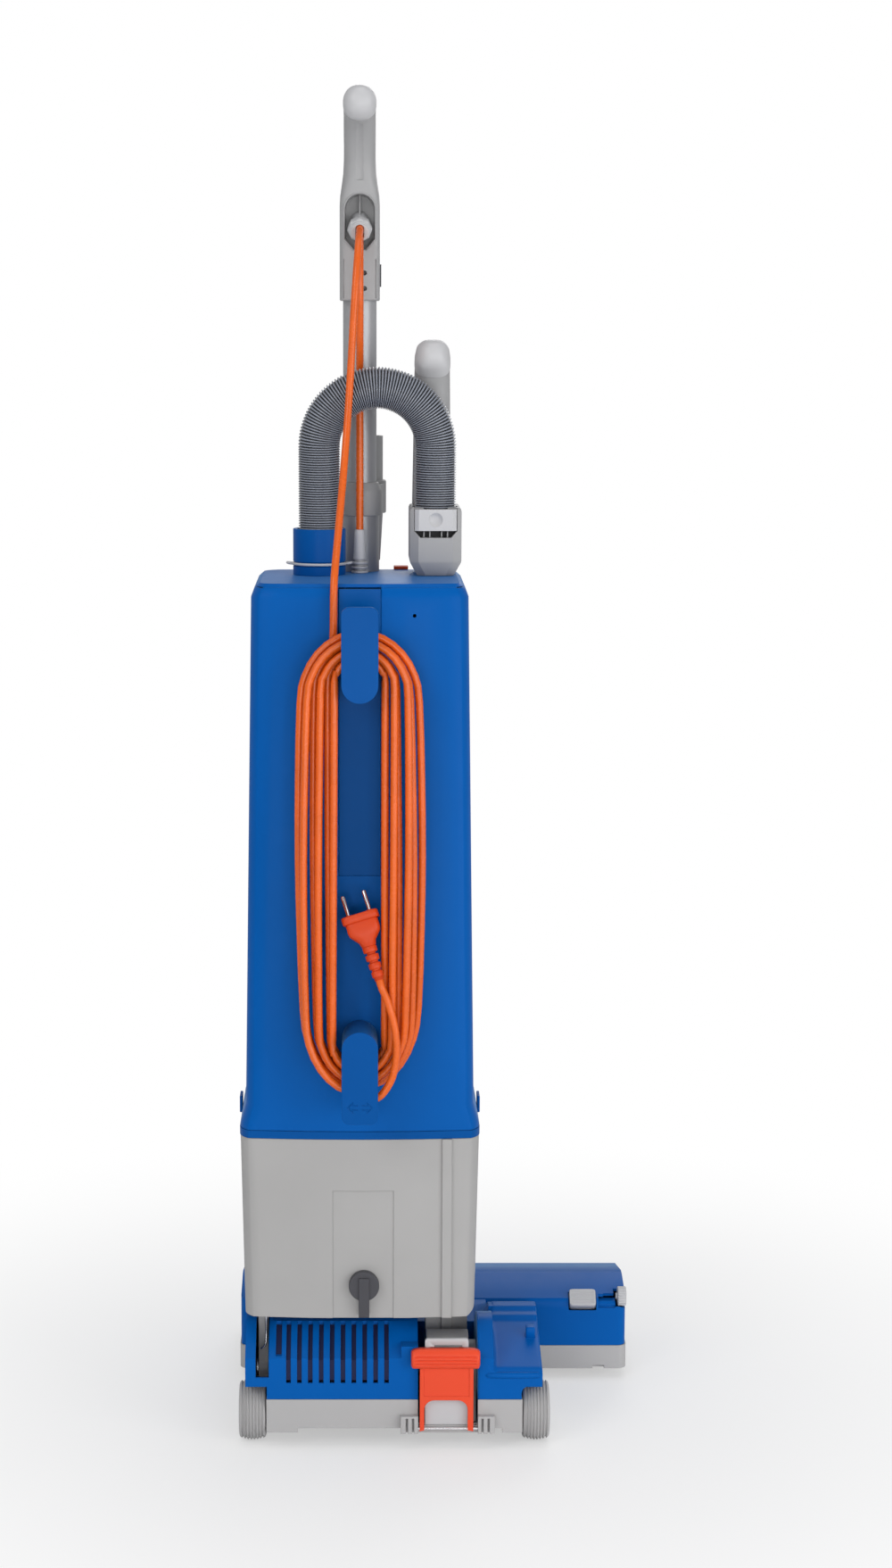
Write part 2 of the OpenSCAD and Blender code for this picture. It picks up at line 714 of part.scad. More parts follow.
// Head-side duct from the turning drum forward to the brush chamber
module suction_duct() {
    x0 = neck_x + 20.5;
    color(tube_grey) place() difference() {
        union() {
            bar_x(neck_x1 + gap, notch_x1 - 0.6, pivot_y, pivot_z, 24);
            block([notch_x1 - 4, pivot_y - 16, base_top + gap], [notch_x1 - 0.6, pivot_y + 26, pivot_z]);
        }
        bar_x(neck_x1, notch_x1 - 3, pivot_y, pivot_z, 21.5);
    }
    color(tube_grey) place() difference() {
        block([x0, neck_y + neck_d + 8, base_top + gap], [x0 + 19, brush_y - bristle_r - 8, base_top + 28]);
        block([x0 + 2, neck_y + neck_d, base_top + 2], [x0 + 17, brush_y, base_top + 26]);
    }
}

// Spring clip over the neck, hinged at its foot
module duct_clip() {
    plate_x0 = neck_x - 25.5;
    plate_x1 = neck_x + 22.3;
    bar_x0 = neck_x - 33.4;
    bar_x1 = neck_x + 28.2;
    top_z = pivot_z + 34;
    color(clip_orange) place() difference() {
        union() {
            block([plate_x0, -head_back - 5.5, base_z + 7], [plate_x1, -head_back - 1.5, top_z - 9]);
            // grooved grip bar
            prism_x(bar_x0, bar_x1, [[-head_back - 1.5, top_z - 18], [-head_back - 9, top_z - 17],
                [-head_back - 11, top_z - 14], [-head_back - 10, top_z - 13],
                [-head_back - 11.5, top_z - 10], [-head_back - 10, top_z - 9],
                [-head_back - 11.5, top_z - 6], [-head_back - 10, top_z - 3],
                [-head_back - 6, top_z], [-head_back - 1.5, top_z]]);
            // teeth that reach over the backplate
            for (x = [plate_x0 + 9, plate_x1 - 13])
                block([x, -head_back - 3, top_z - 3], [x + 4, -head_back - 0.4, top_z]);
        }
        // arch between the two legs
        hull() {
            bar_y(-head_back - 8, -head_back, plate_x0 + 13, base_z + 27, 9);
            bar_y(-head_back - 8, -head_back, plate_x1 - 14, base_z + 27, 9);
            block([plate_x0 + 4, -head_back - 8, base_z - 2], [plate_x1 - 5, -head_back, base_z + 8]);
        }
        // hinge bore in the legs
        bar_x(plate_x0 - 1, plate_x1 + 1, -head_back - 3.5, base_z + 9, clip_pin_r + run_fit);
    }
}

module clip_pin() {
    color(steel) place()
        bar_x(notch_x0 - 2, notch_x1 + 2, -head_back - 3.5, base_z + 9, clip_pin_r);
}

// Thumb knob that sets the brush height
module height_knob() {
    color(light_grey) place() {
        bar_x(head_x1 - 8.5, head_x1 - 0.3, housing_y + 8, ridge_z, 9.5);
        bar_x(head_x1 - 20, head_x1 - 8, housing_y + 8, ridge_z - 0, 2.5);
    }
}

// Button body laid square on the ridge, grown by c all round and by d below
module brush_button_form(c, d = 0) {
    translate([head_x1 - 42.2, housing_y + 2, ridge_z])
        rotate([45, 0, 0])
            translate([-12.8 - c, -9 - c, -9 - c - d])
                cube([25.6 + 2 * c, 18 + 2 * c, 11.5 + 2 * c + d]);
}

module brush_button() {
    color(light_grey) place() brush_button_form(0);
}

module side_slider() {
    color(clip_orange) place()
        block([rear_x0 - 2, 52, 52], [rear_x0, 68, 62]);
}

// ---------------------------------------------------------------- body, lower part

module motor_case() {
    color(grey) place() difference() {
        body_taper(case_w0, case_w1, case_back, case_front, corner_r, case_z, case_top_z);
        body_taper(case_w0 - 2 * wall, case_w1 - 2 * wall, case_back + wall, case_front - wall,
            corner_r - wall, case_floor + wall, case_top_z + 1);
        body_taper(case_w0 - 2 * wall, case_w0 - 2 * wall, case_back + wall, case_front - wall,
            corner_r - wall, case_z - 1, case_floor);
        // room for the clip's bar as the body tilts
        bar_x(case_w0 / 2 - 12, case_w0 / 2 + 5, pivot_y, pivot_z, case_floor - pivot_z);
        // flat panel in the back
        block([-24, case_back - 3, case_z - 1], [30, case_back + 1.5, case_z + 117]);
        // hole for the release lever's stem
        bar_y(case_back - 1, case_back + 9, 3.7, case_z + 31, 4 + run_fit);
        // passages for the neck duct
        translate([neck_x, neck_y + neck_d / 2, case_z]) cylinder(r = 13, h = 20);
        // exhaust slots in the front
        for (i = [0 : 8])
            block([-60, case_front - 5, case_z + 50 + 9 * i], [60, case_front + 1, case_z + 54 + 9 * i]);
    }
    // upright rib on the back
    color(grey) place()
        block([73, case_back + 1.2, case_z], [81.5, case_back + 3.5, case_top_z]);
}

// Turning drum and upright tube that join head and body
module neck_duct() {
    color(grey) place() difference() {
        union() {
            bar_x(neck_x0, neck_x1, pivot_y, pivot_z, drum_r);
            block([neck_x0, neck_y, pivot_z - 10], [neck_x1, neck_y + neck_d, case_floor - 0.01]);
            block([neck_x0, pivot_y, pivot_z - 8], [neck_x1, neck_y + 8, pivot_z + 14]);
            block([neck_x - 4.5, neck_y - 2, pivot_z + 6], [neck_x + 4.5, neck_y + 2, case_floor - 0.01]);
        }
        // hollow drum and tube
        bar_x(neck_x0 + 6, neck_x1 + 1, pivot_y, pivot_z, drum_r - 8);
        block([neck_x0 + 3, neck_y + 3, pivot_z - 7], [neck_x1 - 3, neck_y + neck_d - 3, case_floor + 1]);
        block([neck_x0 + 6, pivot_y, pivot_z - 5], [neck_x1 - 3, neck_y + 9, pivot_z + 11]);
        // bore on the pivot pin
        bar_x(neck_x0 - 1, neck_x0 + 8, pivot_y, pivot_z, pivot_pin_r + run_fit);
    }
}

module pivot_arm() {
    color(grey) place() difference() {
        union() {
            bar_x(arm_x - arm_w / 2, arm_x + arm_w / 2, pivot_y, pivot_z, 10.2);
            block([arm_x - arm_w / 2, pivot_y - 8, pivot_z],
                [arm_x + arm_w / 2, pivot_y + 8, case_floor - 0.01]);
        }
        bar_x(arm_x - arm_w, arm_x + arm_w, pivot_y, pivot_z, pivot_pin_r + run_fit);
    }
}

module release_lever() {
    x = 3.7;
    z = case_z + 31;
    y1 = case_back + 1.2;
    color(dark) place() {
        bar_y(y1 - 7, y1, x, z, 13.4);
        bar_y(y1 - 1, y1 + 8, x, z, 4);
        block([x - 4.7, y1 - 7, case_z + 3], [x + 4.7, y1, z]);
        block([x - 4.7, y1 - 9, case_z + 3], [x + 4.7, y1 - 6, z + 8]);
    }
}

module case_rim() {
    color(blue) place() {
        difference() {
            translate([0, 0, rim_z]) linear_extrude(rim_h)
                body_outline(case_w1 + 1, case_back - 0.5, case_front + 0.5, corner_r);
            translate([0, 0, rim_z + 3]) linear_extrude(rim_h)
                body_outline(case_w1 - 8, case_back + 4, case_front - 4, corner_r - 4);
            translate([fan_at[0], fan_at[1], rim_z - 1]) cylinder(r = 40, h = 9);
            translate([cuff_x, wand_y, rim_z - 1]) cylinder(r = 19.3, h = 9);
        }
        // lugs that hold the cover's hinge pin
        for (x = [-52, 44])
            difference() {
                block([x, hinge_y - 4, rim_z + 3], [x + 8, hinge_y + 3, hinge_z + 4]);
                bar_x(x - 1, x + 9, hinge_y, hinge_z, hinge_pin_r);
            }
    }
}

module cover_pin() {
    color(steel) place() bar_x(-58, 58, hinge_y, hinge_z, hinge_pin_r);
}

// Motor can with its mounts and the fan's casing on top
module suction_motor() {
    color(tube_grey) place() translate(fan_at) difference() {
        union() {
            cylinder(r = fan_r - 13, h = can_h);
            translate([0, 0, can_h]) cylinder(r = fan_r, h = 40);
        }
        translate([0, 0, can_h + 6]) cylinder(r = fan_r - wall, h = 28);
        translate([0, 0, can_h + 16]) cylinder(r = 22, h = 40);
        translate([0, 0, can_h - 24]) cylinder(r = 6, h = 40);
    }
}

module impeller() {
    color(steel) place() translate(fan_at) {
        translate([0, 0, can_h - 23.7]) cylinder(r = 5, h = 32);
        translate([0, 0, can_h + 8]) cylinder(r = fan_r - 6, h = 2);
        for (a = [0 : 45 : 315])
            rotate([0, 0, a]) translate([14, -1, can_h + 9]) cube([fan_r - 22, 2, 14]);
    }
}

module exhaust_filter() {
    color("white") place()
        block([-70, case_front - wall - 16, case_z + 44], [70, case_front - wall - gap, case_z + 132]);
}

// Pipe inside the body from the neck up to the wand's seat
module case_pipe() {
    foot_y = neck_y + neck_d / 2 + 4;
    foot_z = case_floor + wall;
    color(tube_grey) place() difference() {
        union() {
            hull() {
                translate([neck_x, foot_y, foot_z]) cylinder(r = 16, h = 4, $fn = 32);
                translate([cuff_x, wand_y, rim_z - 6]) cylinder(r = 18, h = 6, $fn = 32);
            }
            hull() translate([cuff_x, wand_y, rim_z - 4.5])
                cylinder(r = 19, h = body_top_z - wall - gap - rim_z + 4.5, $fn = 32);
        }
        hull() {
            translate([neck_x, foot_y, foot_z - 1]) cylinder(r = 13, h = 4, $fn = 32);
            translate([cuff_x, wand_y, rim_z - 6]) cylinder(r = 14.5, h = 8, $fn = 32);
        }
        hull() translate([cuff_x, wand_y, rim_z + 0.7])
            cylinder(r = wand_r + 2 * gap, h = body_top_z - rim_z, $fn = 32);
    }
}

// ---------------------------------------------------------------- body, upper part

module shell_outer() {
    hull() {
        body_slice(shell_w0, case_back, body_front, corner_r, skirt_z);
        body_slice(shell_w1 + 1, case_back, body_front, corner_r, body_top_z - 12);
        body_slice(shell_w1 - 5, case_back + 2, body_front - 3, corner_r, body_top_z - 4);
        body_slice(shell_w1 - 14, case_back + 6, body_front - 8, corner_r - 4, body_top_z - 0.01);
    }
    hull() {
        body_slice(case_w1, case_back - 0.3, body_front + 2, corner_r, shell_z);
        body_slice(case_w1 - 1, case_back - 0.3, body_front + 2, corner_r, shell_z + 5);
        body_slice(shell_w0, case_back, body_front, corner_r, skirt_z);
    }
}

module shell_inner() {
    body_taper(shell_w0 - 2 * wall, shell_w1 - 2 * wall - 2, case_back + wall, body_front - wall,
        corner_r - wall, shell_z - 1, body_top_z - wall);
}

// Space on the front side of the seam; its top follows the cover's swing
module front_half(c) {
    intersection() {
        block([-200, seam_y + c, shell_z - 2], [200, body_front + 20, cap_z + 20]);
        bar_x(-201, 201, hinge_y, hinge_z, cap_z - hinge_z - c, $fn = 128);
    }
}

module back_shell() {
    color(blue) place() difference() {
        union() {
            difference() {
                shell_outer();
                shell_inner();
                front_half(0);
            }
            // sockets under the top for the handle tube and the hose port
            translate([0, tube_y, cap_z + gap])
                cylinder(r = low_tube_r + 2.5, h = body_top_z - cap_z - gap);
            translate([port_x, hose_y, cap_z + gap])
                cylinder(r = 23.4, h = body_top_z - wall - cap_z);
        }
        translate([0, tube_y, tube_foot_z]) cylinder(r = low_tube_r, h = 80);
        translate([port_x, hose_y, cap_z - 20]) cylinder(r = 20.6, h = 80);
        translate([cuff_x, wand_y, cap_z - 20]) cylinder(r = wand_r + 1, h = 80);
        // slot that takes the strip of the upper hook
        block([-18 - gap, case_back - 2, 520 - gap], [18 + gap, case_back + 5.5, body_top_z + 1]);
        // bore for the lower hook's stem
        bar_y(case_back - 2, case_back + 9, 0, hook_low_z, 6 + run_fit);
        // seat of the strain relief
        translate([0, hose_y + 16, cap_z]) cylinder(r = 3.8, h = 50);
        // screw hole
        bar_y(case_back - 2, case_back + 9, 47, hook_up_z + 54, 1.6);
    }
}

module front_cover() {
    color(blue) place() difference() {
        intersection() {
            difference() {
                shell_outer();
                shell_inner();
            }
            front_half(gap);
        }
        // clearance over the rim as the cover swings
        block([-200, seam_y - 1, shell_z - 3], [200, body_front + 20, shell_z + 2.6]);
        block([-60, hinge_y - 12, shell_z - 1], [60, hinge_y + 5.2, hinge_z + 9]);
        for (x = [-52, 44])
            block([x - 0.5, hinge_y - 12, shell_z - 1], [x + 8.5, body_front + 9, hinge_z + 14]);
    }
    // knuckles on the hinge pin
    color(blue) place() {
        for (x = [-42, 32])
            difference() {
                union() {
                    bar_x(x, x + 10, hinge_y, hinge_z, 5);
                    block([x, hinge_y - 2, hinge_z], [x + 10, hinge_y + 5.4, hinge_z + 12]);
                }
                bar_x(x - 1, x + 11, hinge_y, hinge_z, hinge_pin_r + run_fit);
            }
        // ears and pin of the latch
        for (x = [latch_x - 2.3, latch_x + 13.3])
            block([x, body_front - 1, cap_z - 12], [x + 2, body_front + 3.6, cap_z - 6.5]);
        bar_x(latch_x - 1, latch_x + 14, body_front + 2, cap_z - 9, 0.8);
    }
}

latch_x = 31;
module cover_latch() {
    x1 = latch_x + 13;
    color(clip_orange) place() difference() {
        union() {
            block([latch_x, body_front + gap, cap_z - 9], [x1, body_front + 3.5, body_top_z + 3]);
            block([latch_x, body_front - 9, body_top_z + 0.5], [x1, body_front + 1, body_top_z + 3]);
            bar_x(latch_x, x1, body_front + 2, cap_z - 9, 1.7);
        }
        bar_x(latch_x - 1, latch_x + 14, body_front + 2, cap_z - 9, 0.8 + run_fit);
    }
}

module bag_form(t) {
    translate([-20, 0, 0]) slab(shell_w1 - 61 - 2 * t, case_back + 18 + t, body_d - 58 - 2 * t,
        bag_foot + t, bag_top - bag_foot - 2 * t, 24 - t);
}

module dust_bag() {
    color("#e8e2d2") place() difference() {
        bag_form(0);
        bag_form(1.2);
        translate([port_x, hose_y, bag_top - 10]) cylinder(r = 17, h = 20);
    }
    color("#d8cdb4") place() difference() {
        block([-78, 20, bag_top], [22, 110, bag_top + 3]);
        translate([port_x, hose_y, bag_top - 10]) cylinder(r = 17, h = 20);
    }
}

module hose_port() {
    color(blue) place() difference() {
        union() {
            translate([port_x, hose_y, body_top_z]) cylinder(r = port_d / 2, h = port_h);
            translate([port_x, hose_y, bag_top + 3.3]) cylinder(r = 20.6, h = 70);
        }
        translate([port_x, hose_y, port_seat_z]) cylinder(r = hose_d / 2 + 1.5, h = 40);
        translate([port_x, hose_y, bag_top - 10]) cylinder(r = 15, h = 200);
        // groove for the spring clip
        translate([port_x, hose_y, body_top_z + 8]) difference() {
            cylinder(r = port_d / 2 + 1, h = 4);
            translate([0, 0, -1]) cylinder(r = port_d / 2 - 1, h = 6);
        }
    }
}

module port_clip() {
    color(light_grey) place() translate([port_x, hose_y, body_top_z + 8 + gap / 2]) {
        difference() {
            union() {
                cylinder(r = port_d / 2 + 0.8, h = 4 - gap);
                for (s = [-1, 1])
                    translate([s * (port_d / 2 + 1.6) - 2.6, -4, -2]) cube([5.2, 8, 8]);
            }
            translate([0, 0, -9]) cylinder(r = port_d / 2 - 1 + 0.02, h = 30);
            for (s = [-1, 1], z = [-6, 4 - gap])
                translate([s * (port_d / 2 - 2) - 3, -5, z]) cube([6, 10, 6]);
        }
    }
}

module strain_relief() {
    y = hose_y + 16;
    color(tube_grey) place() {
        for (i = [0 : 3])
            translate([0, y, body_top_z + 3.5 * i]) cylinder(r = 7.8, h = 2.2);
        translate([0, y, body_top_z - 8]) cylinder(r = 3.8, h = 12);
        translate([0, y, body_top_z]) cylinder(r = 6, h = 14);
        translate([0, y, body_top_z + 14]) cylinder(r1 = 6.4, r2 = 5.2, h = 25);
    }
}

// Rounded hook plate from its post outward along z
module hook_plate(z, s) {
    corner = 7;
    far = z + s * (hook_reach - corner);
    bar_y(post_y1 - hook_t, post_y1, 0, z, hook_w / 2);
    block([-hook_w / 2, post_y1 - hook_t, min(z, far)], [hook_w / 2, post_y1, max(z, far)]);
    block([-hook_w / 2 + corner, post_y1 - hook_t, min(far, far + s * corner)],
        [hook_w / 2 - corner, post_y1, max(far, far + s * corner)]);
    for (x = [-1, 1]) bar_y(post_y1 - hook_t, post_y1, x * (hook_w / 2 - corner), far, corner);
}

module upper_hook() {
    color(blue) place() {
        block([-18, case_back - 0.5, 520], [18, case_back + 5, body_top_z - 4]);
        bar_y(post_y1 - 0.5, case_back + 1, 0, hook_up_z, post_r);
        hook_plate(hook_up_z, 1);
    }
}

module lower_hook() {
    color(blue) place() difference() {
        union() {
            bar_y(post_y1 - 0.5, case_back - gap, 0, hook_low_z, post_r);
            bar_y(case_back - 1, case_back + 8, 0, hook_low_z, 6);
            hook_plate(hook_low_z, -1);
        }
        // double arrow that shows which way it turns
        for (s = [-1, 1])
            translate([s * 6, post_y1 - hook_t - 1, hook_low_z - hook_reach + 15])
                rotate([0, -90 + s * 90, 0])
                    rotate([-90, 0, 0])
                        linear_extrude(1.4)
                            polygon([[0, -5], [5, 0], [0, 5], [0, 2.4], [-4, 2.4], [-4, 1.4], [1.2, 1.4],
                                [1.2, 3], [3.6, 0], [1.2, -3], [1.2, -1.4], [-4, -1.4], [-4, -2.4],
                                [0, -2.4]]);
    }
}

module side_catches() {
    color(blue) place()
        for (s = [-1, 1]) {
            x = s * (case_w1 / 2 + 1);
            block([min(x, x + s * 2.5), seam_y - 10, rim_z],
                [max(x, x + s * 2.5), seam_y + 10, shell_z + 8]);
        }
}

// ---------------------------------------------------------------- handle

module handle_tubes() {
    color(light_grey) place() difference() {
        union() {
            translate([0, tube_y, tube_foot_z]) cylinder(r = low_tube_r, h = collar_z + 20 - tube_foot_z);
            translate([0, tube_y, collar_z]) cylinder(r = tube_r, h = grip_z + 36 - collar_z);
        }
        translate([0, tube_y, cap_z]) cylinder(r = low_tube_r - tube_wall, h = collar_z + 10 - cap_z);
        translate([0, tube_y, cap_z]) cylinder(r = tube_r - tube_wall, h = 500);
    }
}

// Collar that clamps the two tubes, with a ring for the crevice nozzle
nozzle_x = 3.6;
nozzle_y = tube_y + 40;
nozzle_r = 17.5;
module tube_collar() {
    color(tube_grey) place() difference() {
        union() {
            translate([0, tube_y, collar_z]) cylinder(r = low_tube_r + 2.5, h = collar_h);
            translate([nozzle_x, nozzle_y, collar_z]) cylinder(r = nozzle_r + 3, h = collar_h);
            block([-12, tube_y, collar_z], [14, nozzle_y, collar_z + collar_h]);
        }
        translate([0, tube_y, collar_z - 1]) cylinder(r = low_tube_r, h = 21);
        translate([0, tube_y, collar_z - 1]) cylinder(r = tube_r, h = 60);
        translate([nozzle_x, nozzle_y, collar_z - 1]) cylinder(r = nozzle_r + run_fit, h = 60);
        block([nozzle_x - 11, nozzle_y + 6, collar_z - 1], [nozzle_x + 11, nozzle_y + 40, collar_z + 60]);
    }
}

// Narrow cleaning nozzle stored in the collar, round socket upward
module crevice_nozzle() {
    z0 = body_top_z + 7;
    color(tube_grey) place() difference() {
        union() {
            translate([nozzle_x, nozzle_y, collar_z]) cylinder(r = nozzle_r, h = 70);
            hull() {
                translate([nozzle_x, nozzle_y, collar_z - 0.5]) cylinder(r = nozzle_r, h = 1, $fn = 32);
                block([nozzle_x - 15, nozzle_y - 6, z0], [nozzle_x + 15, nozzle_y + 6, z0 + 1]);
            }
        }
        translate([nozzle_x, nozzle_y, collar_z + 30]) cylinder(r = 16.05, h = 50);
        hull() {
            translate([nozzle_x, nozzle_y, collar_z + 30]) cylinder(r = 13.5, h = 1, $fn = 32);
            block([nozzle_x - 13, nozzle_y - 4, z0 - 1], [nozzle_x + 13, nozzle_y + 4, z0]);
        }
    }
}

gland_tilt = 25;
gland_y = tube_y - grip_d / 2 - 5;
gland_z = grip_z + 60;
module grip_slice(w, y0, d, z, r) {
    translate([0, 0, z]) linear_extrude(1)
        translate([-w / 2 + r, y0 + r]) minkowski_free_rect(w - 2 * r, d - 2 * r, r);
}

module main_grip() {
    y0 = tube_y - grip_d / 2;
    base_top_z = grip_z + grip_base_h;
    color(light_grey) place() difference() {
        union() {
            translate([0, 0, grip_z]) linear_extrude(grip_base_h)
                translate([-grip_w / 2 + 8, y0 + 8]) minkowski_free_rect(grip_w - 16, grip_d - 16, 8);
            hull() {
                grip_slice(grip_w, y0, grip_d, base_top_z - 1, 8);
                grip_slice(grip_w - 7.5, y0 - 3, grip_d - 10, base_top_z + 18, 10);
            }
            hull() {
                grip_slice(grip_w - 7.5, y0 - 3, grip_d - 10, base_top_z + 17, 10);
                translate([0, tube_y - 22, base_top_z + 50]) sphere(r = grip_end_r, $fn = 24);
            }
            hull() {
                translate([0, tube_y - 22, base_top_z + 50]) sphere(r = grip_end_r, $fn = 24);
                translate([0, tube_y - 42, base_top_z + 69]) sphere(r = grip_end_r - 0.5, $fn = 24);
            }
            hull() {
                translate([0, tube_y - 42, base_top_z + 69]) sphere(r = grip_end_r - 0.5, $fn = 24);
                translate([0, tube_y - grip_reach, base_top_z + grip_rise]) sphere(r = grip_end_r, $fn = 24);
            }
        }
        // seat of the tube
        translate([0, tube_y, grip_z - 1]) cylinder(r = tube_r, h = 37);
        // arched recess round the gland
        block([-12.8, y0 - 1, gland_z - 12], [12.8, y0 + 18, gland_z + 20]);
        bar_y(y0 - 1, y0 + 18, 0, gland_z + 20, 12.8);
        // hole for the gland's stem
        translate([0, gland_y, gland_z]) rotate([90 + gland_tilt, 0, 0])
            translate([0, 0, -25.3]) cylinder(r = 8, h = 30);
        // seat of the switch
        block([tube_r + 0.2, tube_y - 12, grip_z + 12], [grip_w / 2 + 1, tube_y + 12, grip_z + 32]);
        // two screw holes
        for (z = [grip_z + 11, grip_z + 24])
            bar_y(y0 - 1, y0 + 5, 2, z, 1.6);
    }
}

module power_switch() {
    color(dark) place()
        block([tube_r + 1.3, tube_y - 11.7, grip_z + 12.3],
            [grip_w / 2 + 1.2, tube_y + 11.7, grip_z + 31.7]);
}

// Cord gland that points back and down
module gland() {
    color(light_grey) place() translate([0, gland_y, gland_z]) rotate([90 + gland_tilt, 0, 0]) difference() {
        union() {
            translate([0, 0, -9]) cylinder(r = 11, h = 7.5, $fn = 8);
            translate([0, 0, -2]) cylinder(r = 9.6, h = 2);
            cylinder(r1 = 9.4, r2 = 8.4, h = 3);
            translate([0, 0, -25]) cylinder(r = 8, h = 24);
        }
        // one way in for each cord
        for (s = [-1, 1])
            translate([0, s * 3.7, -8]) cylinder(r = cord_r + 0.05, h = 12);
    }
}

// ---------------------------------------------------------------- hose and wand

hose_arch_r = (cuff_x - port_x) / 2;
hose_mid_x = (cuff_x + port_x) / 2;
hose_shoulder_z = hose_top_z - hose_arch_r;
hose_left = hose_shoulder_z - port_seat_z;
hose_right = hose_shoulder_z - cuff_seat_z;
hose_len = hose_left + PI * hose_arch_r + hose_right;

// Point on the hose's centre line at distance s from the port
function hose_at(s) =
    let (
        t = s / hose_len,
        lean = t <= 0.04 || t >= 0.96 ? 0 : hose_lean * pow(sin(180 * (t - 0.04) / 0.92), 2),
        a = 180 - 180 * (s - hose_left) / (PI * hose_arch_r)
    )
    s < hose_left ? [port_x, hose_y - lean, port_seat_z + s]
    : s > hose_left + PI * hose_arch_r
    ? [cuff_x, hose_y - lean, cuff_seat_z + gap + hose_len - s]
    : [hose_mid_x + hose_arch_r * cos(a), hose_y - lean, hose_shoulder_z + hose_arch_r * sin(a)];

module hose() {
    end = 6;
    pitch = (hose_len - 2 * end) / hose_ribs;
    stations = concat(
        [0, end],
        [for (i = [0 : hose_ribs - 1], k = [0.25, 0.75]) end + (i + k) * pitch],
        [hose_len - end, hose_len]
    );
    radii = concat(
        [hose_d / 2 - rib_h, hose_d / 2 - rib_h],
        [for (i = [0 : hose_ribs - 1], k = [0, 1]) hose_d / 2 - k * rib_h],
        [hose_d / 2 - rib_h, hose_d / 2 - rib_h]
    );
    bore_steps = 32;
    bore = concat(
        [hose_at(0) - [0, 0, 1]],
        [for (i = [1 : bore_steps - 1]) hose_at(i * hose_len / bore_steps)],
        [hose_at(hose_len) - [0, 0, 1]]
    );
    color("#585c62") place() difference() {
        sweep([for (s = stations) hose_at(s)], radii, 8, [0, 1, 0.001]);
        sweep(bore, hose_bore / 2, 8, [0, 1, 0.001]);
    }
}

// Grip of the wand with the cuff that the hose goes into
module wand_grip() {
    y0 = hose_y - 26;
    color(tube_grey) place() difference() {
        union() {
            // cuff block with drawn-in foot
            translate([cuff_x, 0, 0]) {
                slab(cuff_w, y0, 78, cuff_z + 18, cuff_h - 18, 9);
                hull() {
                    slab(cuff_w, y0, 78, cuff_z + 17, 1, 9);
                    slab(cuff_w - 12, y0 + 6, 66, cuff_z, 1, 9);
                }
            }
            // grip behind the hose
            hull() {
                translate([cuff_x, 0, 0]) slab(35, hose_y + 20, 32, cuff_top_z - 4, 1, 10);
                translate([cuff_x - 2.5, hose_y + 28, 950]) sphere(r = 16, $fn = 24);
            }
            hull() {
                translate([cuff_x - 2.5, hose_y + 28, 950]) sphere(r = 16, $fn = 24);
                translate([cuff_x - 2.5, hose_y + 6, 964]) sphere(r = 15, $fn = 24);
            }
        }
        // seat of the hose end
        translate([cuff_x, hose_y, cuff_seat_z]) cylinder(r = hose_d / 2 + 1.2, h = 60);
        translate([cuff_x, hose_y, cuff_z + 20]) cylinder(r = 14, h = 60);
        // channel down into the wand tube
        translate([cuff_x, wand_y, cuff_z - 1]) cylinder(r = wand_r - 1.5, h = 40);
        block([cuff_x - 12, hose_y, cuff_z + 20], [cuff_x + 12, wand_y, cuff_z + 38]);
        // seat of the release button and the slot under it
        block([cuff_x - 19, y0 - 1, cuff_z + 30], [cuff_x + 19, y0 + 6 + button_travel, cuff_top_z - 1]);
    }
}

module cuff_button() {
    y0 = hose_y - 26;
    color(light_grey) place() difference() {
        block([cuff_x - 18.7, y0 + 0.5, cuff_z + 36], [cuff_x + 18.7, y0 + 5.5, cuff_top_z - 1.3]);
        translate([cuff_x, y0 - 14, cuff_z + 48]) sphere(r = 17, $fn = 32);
    }
}

module wand_tube() {
    color(tube_grey) place() difference() {
        translate([cuff_x, wand_y, cuff_z - 233.3]) cylinder(r = wand_r, h = 233.3);
        translate([cuff_x, wand_y, cuff_z - 234.3]) cylinder(r = wand_r - 1.5, h = 300);
    }
}

// ---------------------------------------------------------------- mains cord

layer_y = [for (k = [0 : 5]) case_back - 0.6 - cord_r - k * wind_layer];
wind_turns = 11 + 8 / 24;
wind_step = 24;

// Loop radius and depth at the posts after u turns: in, out, in and out again
function wind_phase(u) = u - 3 * floor(u / 3);
function wind_spread(u) =
    let (
        layer = floor(u / 3),
        f = min(wind_phase(u), 2.5) / 2.5
    )
    layer % 2 == 0 ? 1 - f : f;
function wind_r(u) = wind_in_r + wind_pitch * 2.5 * wind_spread(u);
function wind_y(u) =
    let (
        layer = floor(u / 3),
        climb = max(0, wind_phase(u) - 2.5) * 2,
        last = max(0, u - 11) * 24 / 7
    )
    case_back - 0.6 - cord_r - (layer + 1 + (layer < 3 ? climb : min(1, last))) * wind_layer;

// Point after u turns: down on the left, round the lower post, up on the right
function wind_at(u) =
    let (
        k = (u - floor(u)) * wind_step,
        r = wind_r(u),
        y = wind_y(u),
        h = r + 1.2 + wind_bulge * wind_spread(u),
        top = wind_in_r + 1.88 * (r - wind_in_r),
        foot = wind_in_r + 2.5 * (r - wind_in_r),
        top_z = hook_up_z + r - top,
        foot_z = hook_low_z - r + foot,
        swell = 3 * wind_spread(u)
    )
    k < 4 ? [-h - swell * sin(45 * k), y, top_z - (top_z - foot_z) * k / 4]
    : k < 12 ? [h * cos(180 + 22.5 * (k - 4)), y, foot_z + foot * sin(180 + 22.5 * (k - 4))]
    : k < 16 ? [h + swell * sin(45 * (k - 12)), y, foot_z + (top_z - foot_z) * (k - 12) / 4]
    : [h * cos(22.5 * (k - 16)), y, top_z + top * sin(22.5 * (k - 16))];

